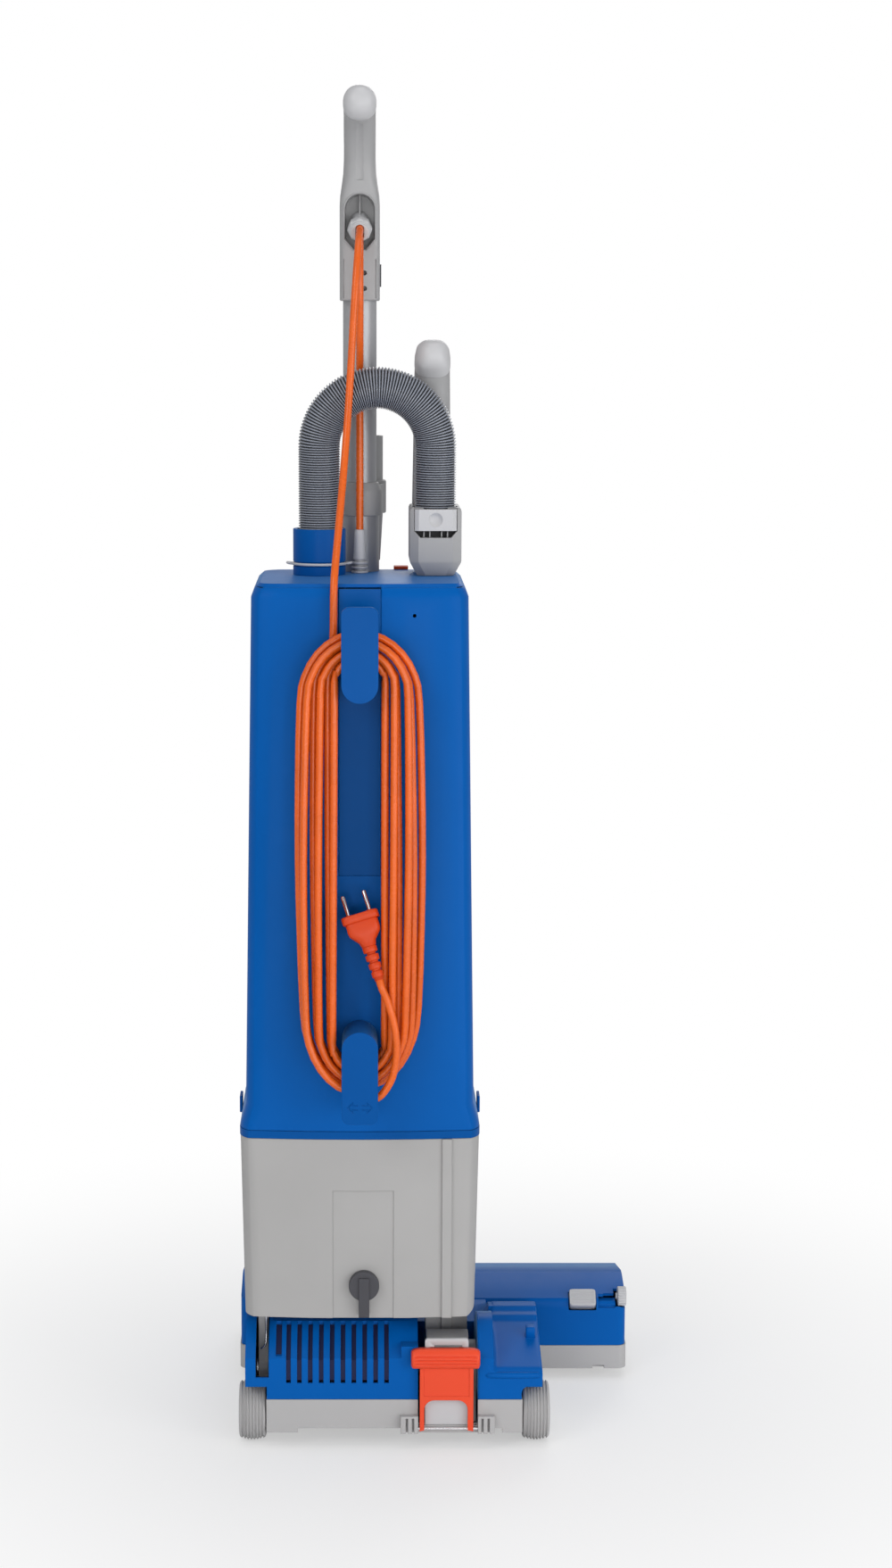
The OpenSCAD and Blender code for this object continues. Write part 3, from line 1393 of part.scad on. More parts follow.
wind_first = 1;
wind_last = 11 * 24 + 8;
wind_core = [for (i = [wind_first : wind_last]) wind_at(i / wind_step)];
wind_dir0 = unit(wind_core[1] - wind_core[0]);
wind_dir1 = unit(wind_core[len(wind_core) - 1] - wind_core[len(wind_core) - 2]);
wind_points = concat(
    [wind_core[0] - wind_dir0 * cord_d],
    wind_core,
    [wind_core[len(wind_core) - 1] + wind_dir1 * cord_d]
);

// Least gap between turns of the winding, measured on its points
function seg_gap(p, q0, q1) =
    let (
        d = q1 - q0,
        t = max(0, min(1, (p - q0) * d / (d * d)))
    )
    norm(p - q0 - d * t) - cord_d;
wind_gap = min([for (i = [0 : len(wind_core) - 1], j = [i + 12 : len(wind_core) - 2])
    seg_gap(wind_core[i], wind_core[j], wind_core[j + 1])]);
echo(str("least gap between turns of the winding: ", wind_gap, " mm"));

function path_len(p) = [for (i = [1 : len(p) - 1]) norm(p[i] - p[i - 1])] * [for (i = [1 : len(p) - 1]) 1];
echo(str("cord in the winding: ", path_len(wind_points), " mm"));

module mains_winding() {
    color(orange) place() sweep(wind_points, cord_r, 6, [0.01, 1, 0.02]);
}

// Where the two cords leave the gland, and which way
gland_dir = [0, -cos(gland_tilt), -sin(gland_tilt)];
gland_up = [0, -sin(gland_tilt), cos(gland_tilt)];
run_exit = [0, gland_y, gland_z] + gland_up * 3.7 - gland_dir * 7.9;
link_exit = [0, gland_y, gland_z] - gland_up * 3.7 - gland_dir * 7.9;
relief_y = hose_y + 16;
relief_z = body_top_z + 39;
in_y = layer_y[0];
tail_y = layer_y[5];

// Straight ends a cord's width long, and a smooth curve through the chosen points between
function cord_points(a, da, route, b, db, n) =
    concat([a], smooth(concat([a + da * cord_d * 1.2], route, [b + db * cord_d * 1.1]), n), [b]);

// Mains cord from the gland to the winding
run_points = cord_points(run_exit, gland_dir,
    [run_exit + gland_dir * 15, [-0.3, 88, 1071], [-0.8, 80, 1066.5], [-1.3, 73, 1060],
     [-2, 67, 1050], [-3, 62, 1036], [-4.2, 59, 1018], [-5.6, 57.5, 996], [-7, 56.5, 970],
     [-8.8, 54.5, 940], [-10.6, 50, 912], [-12.6, 42, 885], [-14.8, 30, 858], [-17.4, 13, 829],
     [-19.8, -4.5, 802], [-21.8, -19.5, 779], [-22.4, in_y - 0.8, 757], [-22.8, in_y, 730],
     [-25, in_y, 702], [-30.6, in_y, 675], [-38, in_y, 651], [-45.5, in_y - 0.8, 633]],
    wind_points[0], -wind_dir0, 2);

// Tail from the winding to the plug
plug_end = [16.8, -58.9, 435.6];
plug_axis = unit([18.1, -16.9, -57.4]);
tail_points = cord_points(wind_points[len(wind_points) - 1], wind_dir1,
    [[19, tail_y, 334.5], [27, tail_y, 347], [31, tail_y, 363], [31.6, tail_y, 382],
     [28.4, tail_y, 402], [23.2, tail_y, 419]],
    plug_end, plug_axis, 2);

// Link cord from the gland down to the body
link_points = cord_points(link_exit, gland_dir,
    [link_exit + gland_dir * 15, [0, 91.5, 1064], [0, 85, 1058.5], [0, 80, 1050], [0, 77.5, 1038],
     [0, 77.8, 1023], [0, 80.6, 1007], [0, 86, 991], [0, 92.6, 977], [0, 98.6, 963], [0, 102.6, 947],
     [0, 104.6, 926], [0, 104.8, 895], [0, 104.5, 862], [0, relief_y, 838]],
    [0, relief_y, relief_z], [0, 0, 1], 2);

module mains_run() {
    color(orange) place() sweep(run_points, cord_r, 8, [1, 0.01, 0.02]);
}

module mains_tail() {
    color(orange) place() sweep(tail_points, cord_r, 8, [0.02, 1, 0.01]);
}

module link_cord() {
    color(orange) place() sweep(link_points, cord_r, 8, [1, 0.01, 0.02]);
}

echo(str("free mains cord: ", path_len(run_points), " and ", path_len(tail_points),
    " mm; link cord: ", path_len(link_points), " mm"));

// Moves children so that z runs from the strain relief up to the plug's pins
module plug_place() {
    tilt_y = atan2(-plug_axis[0], -plug_axis[2]);
    tilt_x = -atan2(-plug_axis[1], norm([plug_axis[0], plug_axis[2]]));
    translate(plug_end) rotate([0, tilt_y, 0]) rotate([tilt_x, 0, 0]) children();
}

plug_relief = 35;
plug_body_h = 30;
module plug() {
    color(orange) place() plug_place() difference() {
        union() {
            for (i = [0 : 3]) translate([0, 0, 3 + 8 * i]) cylinder(r = 4.6 + 0.35 * i, h = 5.4);
            cylinder(r = 3.9, h = plug_relief);
            translate([0, 0, plug_relief - 4]) hull() {
                cylinder(r = 6.4, h = 1, $fn = 32);
                translate([-14, -9, 11]) cube([28, 18, 1]);
            }
            translate([-14, -9, plug_relief + 7]) cube([28, 18, plug_body_h - 18]);
            translate([-16.2, -11, plug_relief + plug_body_h - 12]) cube([32.4, 22, 6.8]);
        }
        for (x = [-9.4, 9.4])
            translate([x, 0, plug_relief + plug_body_h - 12]) cylinder(r = 2.2, h = 20);
    }
}

module plug_pins() {
    color(steel) place() plug_place()
        for (x = [-9.4, 9.4])
            translate([x, 0, plug_relief + plug_body_h - 12]) cylinder(r = 2.2, h = 6.8 + pin_l);
}

// ---------------------------------------------------------------- drawing

head_base();
head_cover();
rear_axle_pins();
wheel_left();
wheel_right();
front_roller_pins();
front_roller_left();
front_roller_right();
brush_core();
bristles();
brush_bearing();
brush_motor();
motor_shaft();
drive_belt();
pivot_bracket();
tilt_spring();
neck_backplate();
suction_duct();
duct_clip();
clip_pin();
height_knob();
brush_button();
side_slider();
motor_case();
neck_duct();
pivot_arm();
case_rim();
back_shell();
front_cover();
cover_pin();
cover_latch();
suction_motor();
impeller();
dust_bag();
exhaust_filter();
case_pipe();
hose_port();
port_clip();
strain_relief();
upper_hook();
lower_hook();
release_lever();
side_catches();
handle_tubes();
tube_collar();
crevice_nozzle();
main_grip();
power_switch();
gland();
hose();
wand_grip();
wand_tube();
cuff_button();
mains_run();
mains_winding();
mains_tail();
plug();
plug_pins();
link_cord();
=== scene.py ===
"""Upright vacuum cleaner: the visible model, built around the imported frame."""

import math

import bmesh
import bpy
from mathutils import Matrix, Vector
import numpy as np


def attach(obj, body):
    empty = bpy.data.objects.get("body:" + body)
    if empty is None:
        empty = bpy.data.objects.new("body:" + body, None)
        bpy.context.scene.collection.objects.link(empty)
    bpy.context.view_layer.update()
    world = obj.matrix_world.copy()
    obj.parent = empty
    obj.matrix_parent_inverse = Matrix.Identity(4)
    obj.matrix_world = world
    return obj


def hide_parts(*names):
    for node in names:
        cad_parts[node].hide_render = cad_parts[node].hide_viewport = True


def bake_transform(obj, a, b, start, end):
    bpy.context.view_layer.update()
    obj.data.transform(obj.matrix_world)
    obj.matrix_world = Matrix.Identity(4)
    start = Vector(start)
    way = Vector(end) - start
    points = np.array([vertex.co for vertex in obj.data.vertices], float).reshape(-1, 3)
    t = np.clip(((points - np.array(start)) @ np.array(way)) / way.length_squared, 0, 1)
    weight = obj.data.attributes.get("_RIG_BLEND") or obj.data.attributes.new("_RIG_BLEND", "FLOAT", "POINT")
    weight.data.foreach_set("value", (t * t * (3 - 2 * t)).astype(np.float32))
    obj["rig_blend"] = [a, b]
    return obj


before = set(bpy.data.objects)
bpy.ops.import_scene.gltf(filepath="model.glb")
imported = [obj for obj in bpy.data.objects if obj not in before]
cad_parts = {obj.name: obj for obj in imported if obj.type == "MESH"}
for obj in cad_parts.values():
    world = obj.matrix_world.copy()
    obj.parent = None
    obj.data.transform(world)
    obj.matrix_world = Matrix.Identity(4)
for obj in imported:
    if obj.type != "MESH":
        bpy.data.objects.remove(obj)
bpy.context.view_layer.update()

bl_info = {
    "name": "Upright vacuum cleaner",
    "version": (1, 0, 0),
    "blender": (4, 5, 0),
    "location": "View3D > Sidebar > Vacuum",
    "description": "Builds the visible pieces of an upright vacuum cleaner",
    "category": "Object",
}

# Places in the machine's own millimetres: x from the body's middle, y from the rear axle, z up
BODY_OFFSET = 70
AXLE_Y = -115.7
CORD_D = 6.6
BODY_TOP = 773
HOOK_UP_Z = 692
HOOK_LOW_Z = 376
TUBE_Y = 130
GRIP_Z = 1014
PORT_X = -36
CUFF_X = 67
HOSE_Y = 88
GLAND = Vector((0, 103, 1074))
GLAND_TILT = math.radians(25)

# The winding on the two hooks: points to a loop (the spring has as many), its first and
# last point, loops to a layer, the y its layers start from, a layer's depth, inner radius
TURN_STEPS = 24
WIND_FIRST = 24
WIND_LAST = 272
LAYER_TURNS = 3
WIND_Y = -23.9
WIND_LAYER = 7.2
WIND_INNER = 20.4

# The camera: metres behind the axle and over the floor, and degrees that it looks down
CAMERA_BACK = 2.5
CAMERA_HEIGHT = 0.985
CAMERA_TILT = 9

WHEEL_X = {"left": -96.3, "right": 158.2}
WHEEL_R = 27
UP = (0, 0, 1)


def srgb(red, green, blue):
    """A colour given as 0 to 255 values, in linear light."""
    parts = (c / 255 for c in (red, green, blue))
    return tuple(
        c / 12.92 if c <= 0.04045 else ((c + 0.055) / 1.055) ** 2.4 for c in parts
    )


def colour_prop(name, text, value):
    return bpy.props.FloatVectorProperty(
        name=name, description=text, subtype="COLOR", size=3, default=value, min=0, max=1
    )


def size_prop(name, text, value, low, high):
    return bpy.props.FloatProperty(
        name=name, description=text, default=value, min=low, max=high, unit="LENGTH"
    )


class VacuumFinishes(bpy.types.PropertyGroup):
    """Colours of the mouldings, cords and metal."""

    shell_blue: colour_prop("Shell blue", "Body shell, hooks and head cover", srgb(0, 89, 170))
    case_grey: colour_prop("Case grey", "Lower case of the body", srgb(168, 167, 166))
    base_grey: colour_prop("Base grey", "Tray and wheels of the head", srgb(175, 174, 174))
    light_grey: colour_prop("Light grey", "Grip, buttons and catch", srgb(192, 192, 194))
    tube_grey: colour_prop("Tube grey", "Wand grip, collar and nozzle", srgb(158, 158, 159))
    dark_grey: colour_prop("Dark grey", "Release lever and small dark parts", srgb(60, 60, 66))
    clip_red: colour_prop("Clip red", "Neck clip and cover latch", srgb(232, 76, 44))
    cord_orange: colour_prop("Cord orange", "Sheath of the cords and plug", srgb(226, 97, 22))
    hose_grey: colour_prop("Hose grey", "Crests of the ribbed hose", srgb(140, 145, 156))


class VacuumSizes(bpy.types.PropertyGroup):
    """Sizes of the pieces that a user would change."""

    cord_diameter: size_prop("Cord diameter", "Sheath of both cords", CORD_D / 1000, 0.004, 0.0066)
    mains_length: size_prop("Mains cord", "Length from gland to plug", 10.05, 5, 15)
    link_length: size_prop("Link cord", "Length from gland to body", 0.285, 0.2, 0.4)
    hose_diameter: size_prop("Hose diameter", "Over the ribs", 0.037, 0.03, 0.037)
    hose_length: size_prop("Hose length", "Along its middle line", 0.3135, 0.2, 0.5)
    hose_ribs: bpy.props.IntProperty(
        name="Hose ribs", description="Number of ribs along the hose", default=144, min=98, max=170
    )
    edge_round: size_prop("Edge rounding", "Radius of the mouldings' edges", 0.0009, 0.0002, 0.002)


# ---------------------------------------------------------------- places and curves


def place(point):
    """A point in machine millimetres as a point of the row frame, in metres."""
    return Vector(
        ((point[0] - BODY_OFFSET) / 1000, (point[1] + AXLE_Y) / 1000, point[2] / 1000)
    )


def smooth_line(points, steps):
    """Points on a smooth curve through the given points, with steps to a stretch."""
    points = [Vector(p) for p in points]
    line = []
    for i in range(len(points) - 1):
        a, b, c = points[max(i - 1, 0)], points[i], points[i + 1]
        d = points[min(i + 2, len(points) - 1)]
        for k in range(steps):
            t = k / steps
            line.append(
                0.5
                * (
                    2 * b
                    + (c - a) * t
                    + (2 * a - 5 * b + 4 * c - d) * t * t
                    + (3 * b - a - 3 * c + d) * t**3
                )
            )
    line.append(points[-1])
    return line


def cord_line(start, start_way, route, end, end_way):
    """Straight short ends and a smooth curve through the route between them."""
    start, end = Vector(start), Vector(end)
    inner = [start + start_way * CORD_D * 1.2, *route, end + end_way * CORD_D * 1.1]
    return [start, *smooth_line(inner, 2), end]


def winding_point(turns):
    """Place on the mains cord after so many turns round the two hooks."""
    layer = math.floor(turns / LAYER_TURNS)
    phase = turns - LAYER_TURNS * layer
    share = min(phase, 2.5) / 2.5
    spread = 1 - share if layer % 2 == 0 else share
    radius = WIND_INNER + 21.25 * spread
    climb = max(0, phase - 2.5) * 2
    if layer >= 3:
        climb = min(1, max(0, turns - 11) * TURN_STEPS / 7)
    y = WIND_Y - (layer + 1 + climb) * WIND_LAYER
    half = radius + 1.2 + 8 * spread
    top = WIND_INNER + 1.88 * (radius - WIND_INNER)
    foot = WIND_INNER + 2.5 * (radius - WIND_INNER)
    top_z = HOOK_UP_Z + radius - top
    foot_z = HOOK_LOW_Z - radius + foot
    swell = 3 * spread
    k = (turns - math.floor(turns)) * TURN_STEPS
    if k < 4:
        bow = math.sin(math.radians(45 * k))
        return Vector((-half - swell * bow, y, top_z - (top_z - foot_z) * k / 4))
    if k < 12:
        a = math.radians(180 + 22.5 * (k - 4))
        return Vector((half * math.cos(a), y, foot_z + foot * math.sin(a)))
    if k < 16:
        bow = math.sin(math.radians(45 * (k - 12)))
        return Vector((half + swell * bow, y, foot_z + (top_z - foot_z) * (k - 12) / 4))
    a = math.radians(22.5 * (k - 16))
    return Vector((half * math.cos(a), y, top_z + top * math.sin(a)))


def hook_winding():
    """The wound part of the mains cord, and its directions at both ends."""
    core = [winding_point(i / TURN_STEPS) for i in range(WIND_FIRST, WIND_LAST + 1)]
    first = (core[1] - core[0]).normalized()
    last = (core[-1] - core[-2]).normalized()
    return [core[0] - first * CORD_D, *core, core[-1] + last * CORD_D], first, last


GLAND_WAY = Vector((0, -math.cos(GLAND_TILT), -math.sin(GLAND_TILT)))
GLAND_UP = Vector((0, -math.sin(GLAND_TILT), math.cos(GLAND_TILT)))
RUN_EXIT = GLAND + GLAND_UP * 3.7 - GLAND_WAY * 7.9
LINK_EXIT = GLAND - GLAND_UP * 3.7 - GLAND_WAY * 7.9
TAIL_Y = -59.9
PLUG_END = Vector((16.8, -58.9, 435.6))
PLUG_WAY = Vector((18.1, -16.9, -57.4)).normalized()
RELIEF_TOP = Vector((0, HOSE_Y + 16, BODY_TOP + 39))


def mains_route():
    """The mains cord's middle line from the gland, round the hooks, to the plug."""
    wound, first, last = hook_winding()
    run = [
        RUN_EXIT + GLAND_WAY * 15, (-0.3, 88, 1071), (-0.8, 80, 1066.5), (-1.3, 73, 1060),
        (-2, 67, 1050), (-3, 62, 1036), (-4.2, 59, 1018), (-5.6, 57.5, 996), (-7, 56.5, 970),
        (-8.8, 54.5, 940), (-10.6, 50, 912), (-12.6, 42, 885), (-14.8, 30, 858),
        (-17.4, 13, 829), (-19.8, -4.5, 802), (-21.8, -19.5, 779), (-22.4, WIND_Y - 0.8, 757),
        (-22.8, WIND_Y, 730), (-25, WIND_Y, 702), (-30.6, WIND_Y, 675), (-38, WIND_Y, 651),
        (-45.5, WIND_Y - 0.8, 633),
    ]
    tail = [
        (19, TAIL_Y, 334.5), (27, TAIL_Y, 347), (31, TAIL_Y, 363), (31.6, TAIL_Y, 382),
        (28.4, TAIL_Y, 402), (23.2, TAIL_Y, 419),
    ]
    run_line = cord_line(RUN_EXIT, GLAND_WAY, map(Vector, run), wound[0], -first)
    tail_line = cord_line(wound[-1], last, map(Vector, tail), PLUG_END, PLUG_WAY)
    return run_line + wound[1:] + tail_line[1:]


def link_route():
    """The link cord's middle line from the gland down to the body."""
    way = [
        LINK_EXIT + GLAND_WAY * 15, (0, 91.5, 1064), (0, 85, 1058.5), (0, 80, 1050),
        (0, 77.5, 1038), (0, 77.8, 1023), (0, 80.6, 1007), (0, 86, 991), (0, 92.6, 977),
        (0, 98.6, 963), (0, 102.6, 947), (0, 104.6, 926), (0, 104.8, 895), (0, 104.5, 862),
        (0, 104, 838),
    ]
    return cord_line(LINK_EXIT, GLAND_WAY, map(Vector, way), RELIEF_TOP, Vector((0, 0, 1)))


HOSE_R = (CUFF_X - PORT_X) / 2
HOSE_MID = (CUFF_X + PORT_X) / 2
HOSE_SHOULDER = 938 - HOSE_R
PORT_SEAT = 800
CUFF_SEAT = 821.3
HOSE_LEFT = HOSE_SHOULDER - PORT_SEAT
HOSE_LEN = HOSE_LEFT + math.pi * HOSE_R + HOSE_SHOULDER - CUFF_SEAT


def hose_point(s):
    """Place on the hose's middle line, s millimetres from its port."""
    t = s / HOSE_LEN
    lean = 0 if t <= 0.04 or t >= 0.96 else 8 * math.sin(math.pi * (t - 0.04) / 0.92) ** 2
    y = HOSE_Y - lean
    if s < HOSE_LEFT:
        return Vector((PORT_X, y, PORT_SEAT + s))
    if s > HOSE_LEFT + math.pi * HOSE_R:
        return Vector((CUFF_X, y, CUFF_SEAT + HOSE_LEN - s))
    a = math.pi - (s - HOSE_LEFT) / HOSE_R
    return Vector((HOSE_MID + HOSE_R * math.cos(a), y, HOSE_SHOULDER + HOSE_R * math.sin(a)))


# ---------------------------------------------------------------- mesh making


def add_object(name, data):
    made = bpy.data.objects.new(name, data)
    bpy.context.scene.collection.objects.link(made)
    return made


def mesh_object(name, points, faces, recalc=True, smooth=True):
    """A mesh object from points in machine millimetres."""
    mesh = bpy.data.meshes.new(name)
    mesh.from_pydata([place(p) for p in points], [], faces)
    tidy_mesh(mesh, recalc, smooth)
    return add_object(name, mesh)


def tidy_mesh(mesh, recalc=True, smooth=True):
    work = bmesh.new()
    work.from_mesh(mesh)
    bmesh.ops.remove_doubles(work, verts=work.verts, dist=1e-6)
    if recalc:
        bmesh.ops.recalc_face_normals(work, faces=work.faces)
    for face in work.faces:
        face.smooth = smooth
    work.to_mesh(mesh)
    work.free()
    mesh.update()


def loft(rings, caps=True):
    """Points and faces of a skin through rings that have equally many points."""
    count = len(rings[0])
    points = [p for ring in rings for p in ring]
    faces = [
        (low + k, low + (k + 1) % count, low + count + (k + 1) % count, low + count + k)
        for low in range(0, (len(rings) - 1) * count, count)
        for k in range(count)
    ]
    if caps:
        faces.append(tuple(range(count - 1, -1, -1)))
        faces.append(tuple(range((len(rings) - 1) * count, len(rings) * count)))
    return points, faces


def section(centre, across, up, width, depth, power, count=40):
    """A ring between an ellipse (power 2) and a box (high power)."""
    centre, across, up = Vector(centre), Vector(across), Vector(up)
    ring = []
    for k in range(count):
        a = 2 * math.pi * (k + 0.5) / count
        c, s = math.cos(a), math.sin(a)
        x = math.copysign(abs(c) ** (2 / power), c) * width / 2
        y = math.copysign(abs(s) ** (2 / power), s) * depth / 2
        ring.append(centre + across * x + up * y)
    return ring


def circle_ring(middle, side, other, radius, count):
    """A ring on a circle, in the plane of side and other."""
    turns = (2 * math.pi * k / count for k in range(count))
    return [middle + (side * math.cos(a) + other * math.sin(a)) * radius for a in turns]


def turned(name, profile, centre, axis, count=48, caps=True):
    """A turned piece from (radius, height along axis) pairs, closed where the radius is 0."""
    axis = Vector(axis).normalized()
    side = axis.orthogonal().normalized()
    other = axis.cross(side)
    rings = [
        circle_ring(Vector(centre) + axis * height, side, other, max(radius, 1e-4), count)
        for radius, height in profile
    ]
    return mesh_object(name, *loft(rings, caps))


def rod(name, radius, low, high, centre, axis, count=48):
    """A plain round bar along an axis, also used as a cutter for bores."""
    profile = [(0, low), (radius, low), (radius, high), (0, high)]
    return turned(name, profile, centre, axis, count)


def swept(name, line, radius, count=12):
    """A round bar along a line, with rings that don't twist."""
    line = [Vector(p) for p in line]
    ways = [
        (line[min(i + 1, len(line) - 1)] - line[max(i - 1, 0)]).normalized()
        for i in range(len(line))
    ]
    side = ways[0].orthogonal().normalized()
    rings = []
    for i, point in enumerate(line):
        side = (side - ways[i] * side.dot(ways[i])).normalized()
        r = radius[i] if isinstance(radius, (list, tuple)) else radius
        rings.append(circle_ring(point, side, ways[i].cross(side), r, count))
    return mesh_object(name, *loft(rings))


def boxed(name, x0, x1, y0, y1, levels, power=9, count=40, smooth=True):
    """A box with rounded corners, from its four sides and (z, inset) levels."""
    middle = ((x0 + x1) / 2, (y0 + y1) / 2)
    rings = []
    for z, inset in levels:
        width, depth = x1 - x0 - 2 * inset, y1 - y0 - 2 * inset
        rings.append(section((*middle, z), (1, 0, 0), (0, 1, 0), width, depth, power, count))
    return mesh_object(name, *loft(rings), smooth=smooth)


def extruded(name, outline, axis, low, high, smooth=False):
    """A prism along x, y or z over an outline given in the other two axes."""
    def at(point, level):
        spot = list(point)
        spot.insert("xyz".index(axis), level)
        return spot

    rings = [[at(p, level) for p in outline] for level in (low, high)]
    return mesh_object(name, *loft(rings), smooth=smooth)


def chamfered(x0, x1, y0, y1, along, back):
    """Outline of a box whose front and back corners are cut off."""
    return [
        (x0 + along, y0), (x1 - along, y0), (x1, y0 + back), (x1, y1 - back),
        (x1 - along, y1), (x0 + along, y1), (x0, y1 - back), (x0, y0 + back),
    ]


def applied_mesh(obj):
    """A new mesh that is the object's with its modifiers applied."""
    bpy.context.view_layer.update()
    seen = obj.evaluated_get(bpy.context.evaluated_depsgraph_get())
    return bpy.data.meshes.new_from_object(seen)


def plain_mesh(obj):
    """Applies the object's modifiers, and leaves its mesh plain."""
    mesh = applied_mesh(obj)
    obj.modifiers.clear()
    old = obj.data
    obj.data = mesh
    mesh.name = old.name
    bpy.data.meshes.remove(old)
    return obj


def cut(obj, *cutters):
    """Takes the cutters away from obj, and removes them."""
    for cutter in cutters:
        change = obj.modifiers.new("Cut", "BOOLEAN")
        change.operation = "DIFFERENCE"
        change.solver = "EXACT"
        change.object = cutter
        plain_mesh(obj)
        bpy.data.objects.remove(cutter)
    return obj


def round_edges(obj, width, angle=35, segments=2):
    """Rounds the sharp edges, and shades the rest smoothly."""
    change = obj.modifiers.new("Rounded", "BEVEL")
    change.width = width
    change.segments = segments
    change.limit_method = "ANGLE"
    change.angle_limit = math.radians(angle)
    change.harden_normals = True
    change.miter_outer = "MITER_ARC"
    plain_mesh(obj)
    return obj


def engraved(obj, *cutters):
    """Cuts fine lines into a rounded piece, and keeps its broad faces shaded flat."""
    cut(obj, *cutters)
    if "custom_normal" in obj.data.attributes:
        obj.data.attributes.remove(obj.data.attributes["custom_normal"])
    change = obj.modifiers.new("Weighted", "WEIGHTED_NORMAL")
    change.weight = 80
    return plain_mesh(obj)


def join(name, objects):
    """One object from several, which are removed."""
    work = bmesh.new()
    mesh = bpy.data.meshes.new(name)
    for obj in objects:
        work.from_mesh(obj.data)
    work.to_mesh(mesh)
    work.free()
    for obj in objects:
        bpy.data.objects.remove(obj)
    return add_object(name, mesh)


# ---------------------------------------------------------------- finishes


def new_finish(name):
    made = bpy.data.materials.new(name)
    made.use_nodes = True
    nodes = made.node_tree.nodes
    shader = next(n for n in nodes if n.type == "BSDF_PRINCIPLED")
    return made, made.node_tree, shader


def new_node(tree, kind, **inputs):
    """A node with values for its inputs, whose names have _ for a space here."""
    made = tree.nodes.new(kind)
    for label, value in inputs.items():
        made.inputs[label.replace("_", " ")].default_value = value
    return made


def mix_shaders(tree, factor, first, second):
    """The first shader where the factor is 0, and the second where it is 1."""
    made = tree.nodes.new("ShaderNodeMixShader")
    tree.links.new(factor, made.inputs["Fac"])
    tree.links.new(first.outputs[0], made.inputs[1])
    tree.links.new(second.outputs[0], made.inputs[2])
    return made


def noise(tree, scale, detail=2.0, stretch=None):
    """Noise on object coordinates, stretched by a Mapping node if asked."""
    source = new_node(tree, "ShaderNodeTexCoord").outputs["Object"]
    if stretch:
        mapping = new_node(tree, "ShaderNodeMapping", Scale=stretch)
        tree.links.new(source, mapping.inputs["Vector"])
        source = mapping.outputs["Vector"]
    made = new_node(tree, "ShaderNodeTexNoise", Scale=scale, Detail=detail)
    tree.links.new(source, made.inputs["Vector"])
    return made.outputs["Fac"]


def tone(tree, shader, factor, colour, spread):
    """Varies the base colour a little round the given one."""
    ramp = tree.nodes.new("ShaderNodeValToRGB")
    ramp.color_ramp.elements[0].position = 0.3
    ramp.color_ramp.elements[1].position = 0.7
    ramp.color_ramp.elements[0].color = (*(c * (1 - spread) for c in colour), 1)
    ramp.color_ramp.elements[1].color = (*(min(1, c * (1 + spread)) for c in colour), 1)
    tree.links.new(factor, ramp.inputs["Fac"])
    tree.links.new(ramp.outputs["Color"], shader.inputs["Base Color"])


def gloss(tree, shader, factor, low, high):
    """Varies the roughness between two values."""
    change = new_node(tree, "ShaderNodeMapRange", To_Min=low, To_Max=high)
    tree.links.new(factor, change.inputs["Value"])
    tree.links.new(change.outputs["Result"], shader.inputs["Roughness"])


def relief(tree, shader, factor, strength, distance, edge=0.0):
    """Fine surface texture, over edges that are rounded by the given radius."""
    bump = new_node(tree, "ShaderNodeBump", Strength=strength, Distance=distance)
    tree.links.new(factor, bump.inputs["Height"])
    if edge:
        bevel = new_node(tree, "ShaderNodeBevel", Radius=edge)
        bevel.samples = 4
        tree.links.new(bevel.outputs["Normal"], bump.inputs["Normal"])
    tree.links.new(bump.outputs["Normal"], shader.inputs["Normal"])


def moulded(
    name, colour, rough, grain=0.25, grain_scale=2600, spread=0.03, edge=0.0, shine=0.5, sheen=0.0
):
    """Injection-moulded plastic with a fine spark-eroded grain."""
    made, tree, shader = new_finish(name)
    tone(tree, shader, noise(tree, 9, 3), colour, spread)
    gloss(tree, shader, noise(tree, 70, 3), rough - 0.04, rough + 0.05)
    relief(tree, shader, noise(tree, grain_scale, 2), grain, 0.00006, edge)
    shader.inputs["Specular IOR Level"].default_value = shine
    shader.inputs["Sheen Weight"].default_value = sheen
    shader.inputs["Sheen Roughness"].default_value = 0.22
    shader.inputs["Sheen Tint"].default_value = (0.3, 0.66, 1, 1)
    return made


def sheathed(name, colour):
    """Soft PVC cable sheath, with the faint lay of its cores under it."""
    made, tree, shader = new_finish(name)
    tone(tree, shader, noise(tree, 30, 3), colour, 0.07)
    gloss(tree, shader, noise(tree, 120, 2), 0.2, 0.34)
    relief(tree, shader, noise(tree, 420, 3), 0.18, 0.0002)
    shader.inputs["Specular IOR Level"].default_value = 0.42
    return made


def metal(name, colour, rough, stretch, scale=260, depth=0.00003):
    """Drawn or brushed metal with its lines along one axis."""
    made, tree, shader = new_finish(name)
    tone(tree, shader, noise(tree, 12, 3, stretch), colour, 0.05)
    gloss(tree, shader, noise(tree, scale, 3, stretch), rough - 0.05, rough + 0.08)
    relief(tree, shader, noise(tree, scale * 2, 2, stretch), 0.2, depth)
    shader.inputs["Metallic"].default_value = 1.0
    return made


def satin(name, colour):
    """Satin anodised tube: part metal, with faint drawn lines along z."""
    made, tree, shader = new_finish(name)
    lines = (6, 6, 0.2)
    tone(tree, shader, noise(tree, 12, 3, lines), colour, 0.03)
    gloss(tree, shader, noise(tree, 240, 3, lines), 0.34, 0.46)
    relief(tree, shader, noise(tree, 480, 2, lines), 0.12, 0.00003)
    shader.inputs["Metallic"].default_value = 0.35
    return made


